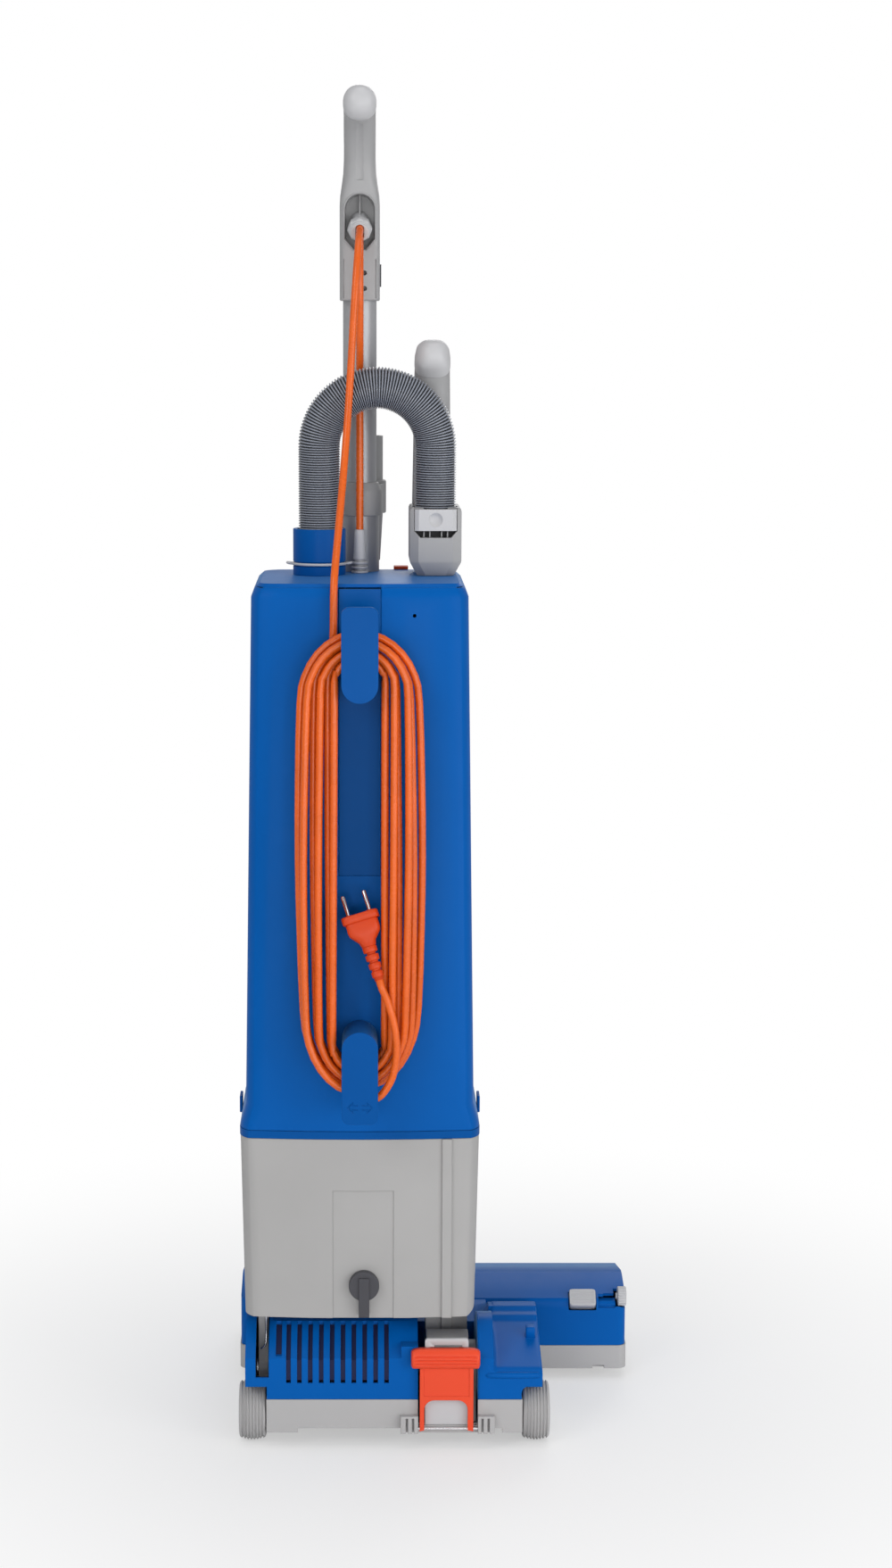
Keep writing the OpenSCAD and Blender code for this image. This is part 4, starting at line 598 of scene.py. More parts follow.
def ribbed_plastic(name, colour):
    """Hose wall: crests lighter than the plastic as painted highlight, and valleys darkened almost to black
    as painted shade, told apart by the crest attribute.
    """
    made, tree, shader = new_finish(name)
    crest = tree.nodes.new("ShaderNodeAttribute")
    crest.attribute_name = "crest"
    ramp = tree.nodes.new("ShaderNodeValToRGB")
    stops = ramp.color_ramp.elements
    # painted shade in the valleys, falling to 5 per cent of the crest colour
    stops[0].position, stops[1].position = 0.3, 0.85
    stops[0].color = (*(c * 0.05 for c in colour), 1)
    stops[1].color = (*colour, 1)
    tree.links.new(crest.outputs["Fac"], ramp.inputs["Fac"])
    tree.links.new(ramp.outputs["Color"], shader.inputs["Base Color"])
    gloss(tree, shader, noise(tree, 90, 3), 0.2, 0.34)
    relief(tree, shader, noise(tree, 1500, 2), 0.1, 0.00005)
    shader.inputs["Specular IOR Level"].default_value = 0.6
    return made


def fleece(name, colour, scale, depth):
    """Pressed fibre fleece or filter paper."""
    made, tree, shader = new_finish(name)
    tone(tree, shader, noise(tree, scale * 0.3, 5), colour, 0.07)
    gloss(tree, shader, noise(tree, scale, 4), 0.8, 0.95)
    relief(tree, shader, noise(tree, scale, 6), 0.5, depth)
    shader.inputs["Sheen Weight"].default_value = 0.15
    return made


def finish_table():
    """Every finish by its name, made once."""
    have = bpy.data.materials
    if "Shell blue plastic" in have:
        return {m.name: m for m in have}
    hue = bpy.context.scene.vacuum_finishes
    edge = bpy.context.scene.vacuum_sizes.edge_round
    moulded("Shell blue plastic", hue.shell_blue, 0.38, 0.16, edge=edge, shine=0.07, sheen=0.3)
    # hooks, rim, port and catches: the shell blue darkened to 0.8 as painted shade, a shaded copy of the
    # same plastic
    shaded_fitting_blue = [c * 0.8 for c in hue.shell_blue]
    moulded("Fitting blue plastic", shaded_fitting_blue, 0.36, 0.16, edge=edge, shine=0.07, sheen=0.3)
    moulded("Case grey plastic", hue.case_grey, 0.5, 0.35, edge=edge, shine=0.35)
    moulded("Base grey plastic", hue.base_grey, 0.5, 0.4, edge=edge)
    moulded("Light grey plastic", hue.light_grey, 0.38, 0.2, edge=edge)
    moulded("Tube grey plastic", hue.tube_grey, 0.42, 0.25, edge=edge)
    moulded("Dark grey plastic", hue.dark_grey, 0.45, 0.3, edge=edge * 0.6)
    moulded("Clip red plastic", hue.clip_red, 0.34, 0.2, edge=edge, shine=0.25)
    plug_orange = [c * k for c, k in zip(hue.cord_orange, (0.84, 0.46, 0.9))]
    moulded("Plug orange plastic", plug_orange, 0.4, 0.3, 1800, shine=0.3)
    ribbed_plastic("Hose plastic", hue.hose_grey)
    moulded("Nylon bristle", srgb(38, 38, 43), 0.4, 0.1, 900, 0.1)
    moulded("Rubber belt", srgb(30, 30, 33), 0.7, 0.5, 1200, 0.1)
    sheathed("Orange cord sheath", hue.cord_orange)
    metal("Bright steel", srgb(214, 214, 216), 0.22, (1, 1, 6))
    metal("Blackened steel", srgb(74, 74, 80), 0.42, (1, 1, 6))
    # dark navy sheet that stands for the shade inside the head's cooling slots
    moulded("Motor screen", srgb(18, 28, 74), 0.7, 0.5, 900)
    satin("Tube aluminium", srgb(170, 171, 174))
    metal("Motor can metal", srgb(160, 161, 166), 0.38, (1, 1, 5))
    fleece("Bag fleece", srgb(232, 226, 210), 500, 0.0004)
    fleece("Filter fleece", srgb(236, 236, 230), 700, 0.0003)
    moulded("Bag collar card", srgb(206, 190, 158), 0.85, 0.5, 800, 0.06)
    return {m.name: m for m in have}


def finish(name):
    return finish_table()[name]


def dress(obj, finish_name, slot, body, *nodes):
    """Gives a finished piece its material and body, and hides the solids it stands for; the slot argument is
    not used.
    """
    obj.data.materials.clear()
    obj.data.materials.append(finish(finish_name))
    if body:
        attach(obj, body)
    if nodes:
        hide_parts(*nodes)
    return obj


def softened(node, width):
    """A copy of a solid's mesh with its sharp edges rounded."""
    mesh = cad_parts[node].data.copy()
    for layer in list(mesh.attributes):
        if layer.name == "custom_normal":
            mesh.attributes.remove(layer)
    work = bmesh.new()
    work.from_mesh(mesh)
    bmesh.ops.remove_doubles(work, verts=work.verts, dist=2e-6)
    bmesh.ops.dissolve_limit(
        work, angle_limit=math.radians(1), use_dissolve_boundaries=False,
        verts=work.verts, edges=work.edges,
    )
    for face in work.faces:
        face.smooth = True
    work.to_mesh(mesh)
    work.free()
    mesh.materials.clear()
    obj = add_object(node + "_dressed", mesh)
    obj.location = (0, 0, 0)
    return round_edges(obj, width)


# ---------------------------------------------------------------- node trees for what repeats


def new_tree(name, sockets):
    """A geometry node tree with a geometry input and output and the named inputs."""
    tree = bpy.data.node_groups.new(name, "GeometryNodeTree")
    tree.interface.new_socket("Geometry", in_out="INPUT", socket_type="NodeSocketGeometry")
    tree.interface.new_socket("Geometry", in_out="OUTPUT", socket_type="NodeSocketGeometry")
    for label, kind, value in sockets:
        made = tree.interface.new_socket(label, in_out="INPUT", socket_type="NodeSocket" + kind)
        if value is not None:
            made.default_value = value
    inputs = tree.nodes.new("NodeGroupInput")
    outputs = tree.nodes.new("NodeGroupOutput")
    return tree, inputs, outputs


def calc(tree, operation, first, second=None):
    made = tree.nodes.new("ShaderNodeMath")
    made.operation = operation
    for socket, value in zip(made.inputs, (first, second)):
        if value is None:
            continue
        if isinstance(value, (int, float)):
            socket.default_value = value
        else:
            tree.links.new(value, socket)
    return made.outputs[0]


def end_tree(tree, outputs, geometry, material):
    """Ends a tree in Realize Instances and Set Material."""
    real = tree.nodes.new("GeometryNodeRealizeInstances")
    paint = tree.nodes.new("GeometryNodeSetMaterial")
    tree.links.new(geometry, real.inputs[0])
    tree.links.new(real.outputs[0], paint.inputs["Geometry"])
    tree.links.new(material, paint.inputs["Material"])
    tree.links.new(paint.outputs["Geometry"], outputs.inputs[0])


def ribbed_tube_tree():
    """A hose wall that waves between crest and valley radius along a curve."""
    name = "Ribbed hose"
    if name in bpy.data.node_groups:
        return bpy.data.node_groups[name]
    tree, inputs, outputs = new_tree(
        name,
        [
            ("Ribs", "Int", 120),
            ("Crest radius", "Float", 0.0185),
            ("Rib depth", "Float", 0.0018),
            ("Material", "Material", None),
        ],
    )
    link = tree.links.new
    dense = tree.nodes.new("GeometryNodeResampleCurve")
    link(inputs.outputs["Geometry"], dense.inputs["Curve"])
    stretches = calc(tree, "MULTIPLY", inputs.outputs["Ribs"], 6)
    link(calc(tree, "ADD", stretches, 1), dense.inputs["Count"])
    along = tree.nodes.new("GeometryNodeSplineParameter")
    turn = calc(tree, "MULTIPLY", along.outputs["Factor"], inputs.outputs["Ribs"])
    wave = calc(tree, "COSINE", calc(tree, "MULTIPLY", turn, 2 * math.pi))
    wave = calc(tree, "MULTIPLY", calc(tree, "ADD", wave, 1), 0.5)
    wave = calc(tree, "POWER", wave, 1.6)
    radius = calc(
        tree,
        "SUBTRACT",
        inputs.outputs["Crest radius"],
        calc(tree, "MULTIPLY", inputs.outputs["Rib depth"], wave),
    )
    # the crest share, which the hose finish uses for painted highlight on crests and painted shade in
    # valleys
    noted = tree.nodes.new("GeometryNodeStoreNamedAttribute")
    noted.data_type = "FLOAT"
    noted.domain = "POINT"
    noted.inputs["Name"].default_value = "crest"
    link(dense.outputs["Curve"], noted.inputs["Geometry"])
    link(calc(tree, "SUBTRACT", 1, wave), noted.inputs["Value"])
    width = tree.nodes.new("GeometryNodeSetCurveRadius")
    link(noted.outputs["Geometry"], width.inputs["Curve"])
    link(radius, width.inputs["Radius"])
    circle = tree.nodes.new("GeometryNodeCurvePrimitiveCircle")
    circle.inputs["Resolution"].default_value = 40
    circle.inputs["Radius"].default_value = 1.0
    skin = tree.nodes.new("GeometryNodeCurveToMesh")
    link(width.outputs["Curve"], skin.inputs["Curve"])
    link(circle.outputs["Curve"], skin.inputs["Profile Curve"])
    if "Scale" in skin.inputs:
        link(radius, skin.inputs["Scale"])
    skin.inputs["Fill Caps"].default_value = False
    soft = tree.nodes.new("GeometryNodeSetShadeSmooth")
    link(skin.outputs["Mesh"], soft.inputs[0])
    end_tree(tree, outputs, soft.outputs[0], inputs.outputs["Material"])
    return tree


def scatter_tree():
    """Sets an item on every point, turned to the point's own aim, with an even random lean."""
    name = "Set along points"
    if name in bpy.data.node_groups:
        return bpy.data.node_groups[name]
    tree, inputs, outputs = new_tree(
        name,
        [
            ("Item", "Object", None),
            ("Lean", "Float", 0.0),
            ("Seed", "Int", 7),
            ("Material", "Material", None),
        ],
    )
    link = tree.links.new
    aim = tree.nodes.new("GeometryNodeInputNamedAttribute")
    aim.data_type = "FLOAT_VECTOR"
    aim.inputs["Name"].default_value = "aim"
    chance = tree.nodes.new("FunctionNodeRandomValue")
    chance.data_type = "FLOAT_VECTOR"
    chance.inputs["Min"].default_value = (-1, -1, -1)
    chance.inputs["Max"].default_value = (1, 1, 1)
    link(inputs.outputs["Seed"], chance.inputs["Seed"])
    scaled = tree.nodes.new("ShaderNodeVectorMath")
    scaled.operation = "SCALE"
    link(chance.outputs[0], scaled.inputs[0])
    link(inputs.outputs["Lean"], scaled.inputs["Scale"])
    leaned = tree.nodes.new("ShaderNodeVectorMath")
    leaned.operation = "ADD"
    link(aim.outputs["Attribute"], leaned.inputs[0])
    link(scaled.outputs[0], leaned.inputs[1])
    turn = tree.nodes.new("FunctionNodeAlignRotationToVector")
    turn.axis = "Z"
    link(leaned.outputs[0], turn.inputs["Vector"])
    item = tree.nodes.new("GeometryNodeObjectInfo")
    link(inputs.outputs["Item"], item.inputs["Object"])
    sets = tree.nodes.new("GeometryNodeInstanceOnPoints")
    link(inputs.outputs["Geometry"], sets.inputs["Points"])
    link(item.outputs["Geometry"], sets.inputs["Instance"])
    link(turn.outputs["Rotation"], sets.inputs["Rotation"])
    end_tree(tree, outputs, sets.outputs["Instances"], inputs.outputs["Material"])
    return tree


def run_tree(obj, tree, values):
    """Runs a tree on an object, and leaves the result as a plain mesh."""
    change = obj.modifiers.new(tree.name, "NODES")
    change.node_group = tree
    for item in tree.interface.items_tree:
        if item.item_type == "SOCKET" and item.in_out == "INPUT" and item.name in values:
            change[item.identifier] = values[item.name]
    mesh = applied_mesh(obj)
    name = obj.name
    bpy.data.objects.remove(obj)
    return add_object(name, mesh)


def set_on_points(name, spots, item, finish_name, lean=0.0, seed=7):
    """Sets copies of item at (point, aim) spots given in machine millimetres."""
    mesh = bpy.data.meshes.new(name)
    mesh.from_pydata([place(p) for p, _ in spots], [], [])
    aims = mesh.attributes.new("aim", "FLOAT_VECTOR", "POINT")
    for value, (_, aim) in zip(aims.data, spots):
        value.vector = Vector(aim).normalized()
    values = {"Item": item, "Lean": lean, "Seed": seed, "Material": finish(finish_name)}
    made = run_tree(add_object(name, mesh), scatter_tree(), values)
    bpy.data.objects.remove(item)
    return made


# ---------------------------------------------------------------- operators


class StepBase:
    bl_options = {"REGISTER", "UNDO"}

    def execute(self, context):
        self.build(context)
        return {"FINISHED"}


class VACUUM_OT_stage(StepBase, bpy.types.Operator):
    """Floor, camera, lamps and background"""

    bl_idname = "vacuum.stage"
    bl_label = "Stage"

    def build(self, context):
        scene = context.scene
        camera = bpy.data.cameras.new("Camera")
        camera.lens = 66.65
        camera.sensor_width = 36
        camera.shift_x = 0.055
        camera.shift_y = 0.006
        camera.clip_start = 0.1
        camera.clip_end = 30
        seen = add_object("Camera", camera)
        seen.location = (-BODY_OFFSET / 1000, AXLE_Y / 1000 - CAMERA_BACK, CAMERA_HEIGHT)
        seen.rotation_euler = (math.radians(90 - CAMERA_TILT), 0, 0)
        scene.camera = seen
        scene.view_settings.view_transform = "Standard"

        half = 4000
        corners = [(-half, -half, 0), (half, -half, 0), (half, half, 0), (-half, half, 0)]
        floor = mesh_object("Floor", corners, [(0, 1, 2, 3)], False)
        paint, tree, shader = new_finish("Studio floor")
        tone(tree, shader, noise(tree, 3, 2), (0.93, 0.93, 0.93), 0.01)
        shader.inputs["Roughness"].default_value = 0.7
        shader.inputs["Specular IOR Level"].default_value = 0.2
        # the floor fades into the white background away from the machine
        far = new_node(tree, "ShaderNodeVectorMath")
        far.operation = "LENGTH"
        tree.links.new(new_node(tree, "ShaderNodeTexCoord").outputs["Object"], far.inputs[0])
        fade = new_node(tree, "ShaderNodeMapRange", From_Min=0.1, From_Max=0.9, To_Min=0.45)
        fade.interpolation_type = "SMOOTHSTEP"
        tree.links.new(far.outputs["Value"], fade.inputs["Value"])
        rays = new_node(tree, "ShaderNodeLightPath")
        shown = calc(tree, "MULTIPLY", fade.outputs["Result"], rays.outputs["Is Camera Ray"])
        mix = mix_shaders(tree, shown, shader, new_node(tree, "ShaderNodeEmission"))
        out = next(n for n in tree.nodes if n.type == "OUTPUT_MATERIAL")
        tree.links.new(mix.outputs[0], out.inputs["Surface"])
        floor.data.materials.append(paint)

        for name, power, size, where, aim in (
            ("Key lamp", 27, (1.6, 1.6), (-2.0, -2.6, 2.4), (0, 0, 0.6)),
            ("Fill lamp", 32, (1.8, 1.8), (2.4, -2.2, 0.9), (0, 0, 0.35)),
            ("Top lamp", 12, (1.6, 1.6), (0.0, -0.4, 3.2), (0, 0, 0.4)),
            ("Low lamp", 56, (3.6, 1.2), (0.3, -4.6, 0.4), (0, 0, 0)),
            ("Back lamp", 18, (1.6, 1.6), (0.6, 2.8, 2.0), (0, 0, 0.6)),
        ):
            light = bpy.data.lights.new(name, "AREA")
            light.shape = "RECTANGLE"
            light.size, light.size_y = size
            light.energy = power
            lamp = add_object(name, light)
            lamp.location = where
            lamp.rotation_mode = "QUATERNION"
            lamp.rotation_quaternion = (Vector(aim) - Vector(where)).to_track_quat("-Z", "Y")

        world = bpy.data.worlds.new("Studio")
        world.use_nodes = True
        scene.world = world
        tree = world.node_tree
        tree.nodes.clear()
        white = (1, 1, 1, 1)
        lit = new_node(tree, "ShaderNodeBackground", Color=(0.97, 0.98, 1.0, 1), Strength=0.4)
        mirrored = new_node(tree, "ShaderNodeBackground", Color=white, Strength=0.42)
        seen_white = new_node(tree, "ShaderNodeBackground", Color=white, Strength=1.0)
        rays = new_node(tree, "ShaderNodeLightPath").outputs
        either = calc(tree, "MAXIMUM", rays["Is Camera Ray"], rays["Is Transmission Ray"])
        glossy = mix_shaders(tree, rays["Is Glossy Ray"], lit, mirrored)
        mix = mix_shaders(tree, either, glossy, seen_white)
        out = new_node(tree, "ShaderNodeOutputWorld")
        tree.links.new(mix.outputs[0], out.inputs["Surface"])


class VACUUM_OT_plug(StepBase, bpy.types.Operator):
    """Two-pin plug with its ribbed strain relief"""

    bl_idname = "vacuum.plug"
    bl_label = "Plug"

    def build(self, context):
        up = -PLUG_WAY
        across = (Vector((0, 1, 0)).cross(up)).normalized()
        front = up.cross(across).normalized()

        def ring(h, w, d, power):
            return section(PLUG_END + up * h, across, front, w, d, power, 48)

        body = [
            ring(30, 10.5, 10.5, 2), ring(30.6, 12.4, 12.4, 2), ring(35, 15, 14, 2.4),
            ring(39, 22, 17, 3), ring(42, 27, 18, 4), ring(45, 28.4, 18.4, 5),
            ring(52, 28.4, 18.4, 5), ring(53.5, 27.6, 17.8, 5), ring(53.6, 24, 15, 5),
        ]
        flange = [
            ring(52.6, 26, 17, 5), ring(53, 31, 20.5, 5), ring(53.6, 32.4, 22, 5),
            ring(59.2, 32.4, 22, 5), ring(59.8, 31.2, 20.8, 5), ring(59.8, 12, 8, 5),
        ]
        shapes = [mesh_object("plug_a", *loft(body)), mesh_object("plug_b", *loft(flange))]
        stem = [(3.9, 0), (3.9, 3)]
        for i in range(4):
            r = 4.9 + 0.42 * i
            stem += [(r - 0.3, 3 + 7.4 * i), (r, 3.5 + 7.4 * i), (r + 0.15, 7.6 + 7.4 * i)]
            stem += [(r - 0.2, 8.1 + 7.4 * i), (3.9, 8.2 + 7.4 * i), (3.9, 10.3 + 7.4 * i)]
        stem += [(4.2, 33)]
        shapes.append(turned("plug_c", stem, PLUG_END, up, 32))
        for x in (-9.4, 9.4):
            at = PLUG_END + across * x + up * 59.4
            foot = [(0, 0), (3.6, 0), (3.6, 1.0), (3.2, 1.4), (2.3, 1.4)]
            shapes.append(turned("plug_d", foot, at, up, 24))
        plug = join("plug_moulding", shapes)
        dress(plug, "Plug orange plastic", "cord_orange", "body", "plug")
        pins = []
        for x in (-9.4, 9.4):
            at = PLUG_END + across * x + up * 53
            sleeve = [(0, 0), (2.0, 0), (2.15, 0.3), (2.15, 7.5), (2.0, 7.6)]
            pins.append(turned("pin", [*sleeve, (2.0, 24.4), (1.5, 25.6), (0, 25.8)], at, up, 24))
        dress(join("plug_pin_pair", pins), "Bright steel", "steel", "body", "plug_pins")


class VACUUM_OT_cords(StepBase, bpy.types.Operator):
    """Mains cord with its winding, and the link cord to the body"""

    bl_idname = "vacuum.cords"
    bl_label = "Cords"

    def build(self, context):
        sizes = context.scene.vacuum_sizes
        cords = (
            ("mains_cord", mains_route(), ("mains_run", "mains_winding", "mains_tail"), RUN_EXIT,
             sizes.mains_length, "plug", "coiled", ["plug_moulding", "plug_pin_pair"]),
            ("link_cord_sheath", link_route(), ("link_cord",), LINK_EXIT,
             sizes.link_length, "object", "hanging", []),
        )
        for name, route, nodes, leaves, length, far_end, lay, with_pieces in cords:
            fine = [place(p) for p in smooth_line(route, 2)]
            curve = bpy.data.curves.new(name, "CURVE")
            curve.dimensions = "3D"
            curve.bevel_depth = sizes.cord_diameter / 2
            curve.bevel_resolution = 3
            curve.use_fill_caps = True
            line = curve.splines.new("POLY")
            line.points.add(len(fine) - 1)
            for point, spot in zip(line.points, fine):
                point.co = (*spot, 1)
            line.use_smooth = True
            cord = add_object(name, curve)
            dress(cord, "Orange cord sheath", "cord_orange", "body", *nodes)


class VACUUM_OT_hose(StepBase, bpy.types.Operator):
    """Ribbed suction hose from the body's port to the wand's cuff"""

    bl_idname = "vacuum.hose"
    bl_label = "Hose"

    def build(self, context):
        sizes = context.scene.vacuum_sizes
        count = 240
        line = [place(hose_point(HOSE_LEN * i / count)) for i in range(count + 1)]
        curve = bpy.data.curves.new("hose_wall", "CURVE")
        curve.dimensions = "3D"
        path = curve.splines.new("POLY")
        path.points.add(count)
        for point, spot in zip(path.points, line):
            point.co = (*spot, 1)
        values = {
            "Ribs": sizes.hose_ribs,
            "Crest radius": sizes.hose_diameter / 2,
            "Rib depth": 0.0019,
            "Material": finish("Hose plastic"),
        }
        hose = run_tree(add_object("hose_wall", curve), ribbed_tube_tree(), values)
        tidy_mesh(hose.data, recalc=False)
        dress(hose, "Hose plastic", "hose_grey", None, "hose")
        start, end = place((PORT_X + 20, HOSE_Y, 880)), place((CUFF_X - 20, HOSE_Y, 880))
        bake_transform(hose, "body", "wand", tuple(start), tuple(end))


class VACUUM_OT_grips(StepBase, bpy.types.Operator):
    """Handle grip with its gland recess, and the wand's grip with its cuff"""

    bl_idname = "vacuum.grips"
    bl_label = "Grips"

    def grip_rings(self, stations, x, count=48):
        """Rings square to a path given as (y, z, lean in degrees, width, depth, power)."""
        rings = []
        for y, z, lean, width, depth, power in stations:
            a = math.radians(lean)
            up = Vector((0, math.cos(a), math.sin(a)))
            rings.append(section((x, y, z), (1, 0, 0), up, width, depth, power, count))
        return rings

    def build(self, context):
        shaft = [
            (130, 1014, 0, 34.5, 42.8, 7), (130, 1014.8, 0, 35.7, 44, 7),
            (130, 1060, 0, 35.7, 44, 7), (130, 1096, 0, 35.7, 44, 7),
            (129.4, 1106, 4, 34.8, 43.4, 5.5), (127, 1115, 9, 32, 40, 4.4),
            (124, 1124, 15, 29.4, 35.6, 3.4), (119.6, 1136, 22, 28.2, 31.6, 2.8),
            (113.6, 1147.5, 32, 28, 29.6, 2.5), (106, 1157.5, 43, 28.2, 28.6, 2.4),
            (97, 1166.5, 52, 28.2, 28, 2.3), (88, 1173, 61, 28, 27.6, 2.3),
            (79, 1177.6, 69, 28.2, 27.8, 2.3), (74.4, 1179.3, 72, 28.5, 28.1, 2.3),
            (73.7, 1179.6, 73, 27.6, 27.2, 2.3), (73.6, 1179.6, 73, 25, 24.6, 2.3),
        ]
        grip = mesh_object("handle_grip", *loft(self.grip_rings(shaft, 0)))
        arch = []
        for y, grow in ((100, 0.9), (108, 0.7), (109.2, 0), (126, -0.8)):
            r = 13.2 + grow
            low = [(-r, 1068), (-5.6, 1058.6), (5.6, 1058.6), (r, 1068)]
            ring = [(x, y, z - grow) for x, z in low]
            angles = (math.pi * k / 16 for k in range(17))
            ring += [(r * math.cos(a), y, 1093.4 + r * math.sin(a)) for a in angles]
            arch.append(ring)
        edge = arch[1]
        lip = [(x, 107.8, z) for x, _, z in (edge[1], edge[0], *edge[:3:-1], edge[3], edge[2])]
        recess = mesh_object("recess", *loft(arch), smooth=False)
        seat = rod("seat", 15.05, -2, 36, (0, TUBE_Y, GRIP_Z), UP)
        holes = [
            rod("hole", 2.1, -2, 7, (4.2, 108, z), (0, 1, 0), 20)
            for z in (GRIP_Z + 10.5, GRIP_Z + 24)
        ]
        slot = boxed("slot", 15.2, 19, 118, 142, [(1026, 0), (1046, 0)], 60, 24, False)
        back = []
        for y, z, lean, _, depth, _ in shaft[6:13]:
            a = math.radians(lean)
            out = Vector((0, math.cos(a), math.sin(a)))
            back.append(Vector((0, y, z)) - out * (depth / 2 + 6.5))
        cut(grip, recess, seat, slot, *holes, swept("flute", smooth_line(back, 3), 7.2, 32))
        rib = boxed("rib", -0.7, 0.7, 116, 127, [(1080, 0), (1106, 0)], 8, 16, False)
        round_edges(grip, 0.0006, 32, 2)
        flutes = [
            swept("flute", [(x, 108.4, z) for z in (1016, 1050)], 0.35, 6) for x in (-14.4, 14.4)
        ]
        grip = join("handle_grip_shell", [grip, rib, swept("lip", lip, 0.62, 8), *flutes])
        dress(grip, "Tube grey plastic", "light_grey", "body", "main_grip")
        cap = [
            (74, 1179.5, 73, 24.4, 24, 2.3), (71.9, 1180.2, 74, 24.4, 24, 2.3),
            (71.8, 1180.2, 74, 28.2, 27.8, 2.3), (71, 1180.5, 75, 29, 28.6, 2.3),
            (66, 1181.9, 77, 29.2, 28.8, 2.3), (60, 1183, 80, 28, 27.6, 2.2),
            (55.5, 1183.8, 82, 24.6, 24.2, 2.1), (52.2, 1184.2, 84, 18.6, 18.2, 2),
            (50.5, 1184.4, 85, 11, 10.8, 2), (50, 1184.5, 86, 4, 4, 2),
        ]
        cap = mesh_object("handle_grip_cap", *loft(self.grip_rings(cap, 0)))
        dress(cap, "Light grey plastic", "light_grey", "body")

        # wand grip: cuff block, shaft behind the hose and its cap
        rings = []
        levels = [(773.3, 7), (774, 6.3), (784.4, 0.7), (786.4, 0)]
        levels += [(830.4, 0), (832.4, 0.7), (833.3, 2)]
        for z, inset in levels:
            x0, x1 = CUFF_X - 22.85 + inset, CUFF_X + 22.85 - inset
            outline = chamfered(x0, x1, 62 + inset * 0.8, 140 - inset * 0.8, 7.6, 4.6)
            rings.append([(x, y, z) for x, y in outline])
        cuff = mesh_object("cuff", *loft(rings))
        seat = [(0, 0), (19.6, 0), (19.6, 10), (20.6, 13), (20.6, 30), (0, 30)]
        seat = turned("seat", seat, (CUFF_X, HOSE_Y, CUFF_SEAT), UP)
        levels = [(812.4, 0), (836, 0)]
        pocket = boxed("pocket", CUFF_X - 19, CUFF_X + 19, 50, 71, levels, 40, 32, False)
        slot = [(-18.8, 813), (-13.6, 807.2), (13.6, 807.2), (18.8, 813)]
        slot = extruded("slot", [(CUFF_X + x, z) for x, z in slot], "y", 50, 70.5)
        cut(cuff, seat, pocket, slot)
        round_edges(cuff, 0.0007, 28, 2)
        fins = [
            boxed("fin", x - 0.6, x + 0.6, 64.4, 70, [(807, 0), (813, 0)], 20, 16)
            for x in (CUFF_X - 10.4, CUFF_X - 5.2, CUFF_X + 5.2, CUFF_X + 10.4)
        ]
        x = CUFF_X - 2.5
        shaft = [
            (122, 826, 4, 35, 34, 5), (121, 850, 3, 34.4, 33, 4.4),
            (119.6, 880, 2, 33.4, 32.4, 3.6), (118, 915, 4, 32.6, 32, 3),
            (115.6, 938, 14, 32, 31.6, 2.6), (111.6, 950, 32, 31.6, 31, 2.4),
            (107, 957, 46, 31.2, 30.6, 2.3), (106.4, 957.4, 46, 30, 29.4, 2.3),
        ]
        shaft = mesh_object("shaft", *loft(self.grip_rings(shaft, x)))
        grip = join("wand_grip_shell", [cuff, shaft, *fins])
        dress(grip, "Tube grey plastic", "tube_grey", "wand", "wand_grip")
        cap = [
            (107.2, 956.6, 46, 29, 28.4, 2.6), (106.8, 957.2, 46, 31.6, 31, 2.6),
            (106.2, 957.8, 46, 32, 31.4, 2.6), (101, 962.4, 50, 31.8, 31, 2.6),
            (94.6, 966, 60, 30, 29.4, 3), (89, 968, 68, 26, 25.6, 3),
            (84.6, 969, 74, 19.6, 19.2, 2.8), (82, 969.4, 78, 12, 11.6, 2.8),
            (81.2, 969.5, 80, 4, 4, 2.8),
        ]
        cap = mesh_object("wand_grip_cap", *loft(self.grip_rings(cap, x)))
        dress(cap, "Light grey plastic", "light_grey", "wand")

        # a dark plate at the back of the cuff's slot, standing for the shade inside the slot
        outline = [(-18, 812.8), (-13.4, 807.6), (13.4, 807.6), (18, 812.8)]
        shade_plate = extruded("cuff_seal", [(CUFF_X + a, z) for a, z in outline], "y", 69.2, 70.9)
        dress(round_edges(shade_plate, 0.0002, 40, 1), "Rubber belt", "dark_plastic", "wand")
        outline = [(-18.5, 66.2), (-18.5, 64.3), (-15, 61.9)]
        outline += [(15, 61.9), (18.5, 64.3), (18.5, 66.2)]
        outline = [(CUFF_X + x, y) for x, y in outline]
        button = extruded("button", outline, "z", 813.2, 832.2, True)
        dent = [(0, -2.4), (2.6, -2.2), (4.6, -1.4), (6.2, 0), (6.6, 5), (0, 5)]
        dent = turned("dent", dent, (CUFF_X, 61.9, 823), (0, -1, 0), 40)
        cut(button, dent)
        round_edges(button, 0.0007, 30, 3)
        dress(button, "Light grey plastic", "light_grey", "cuff_button", "cuff_button")


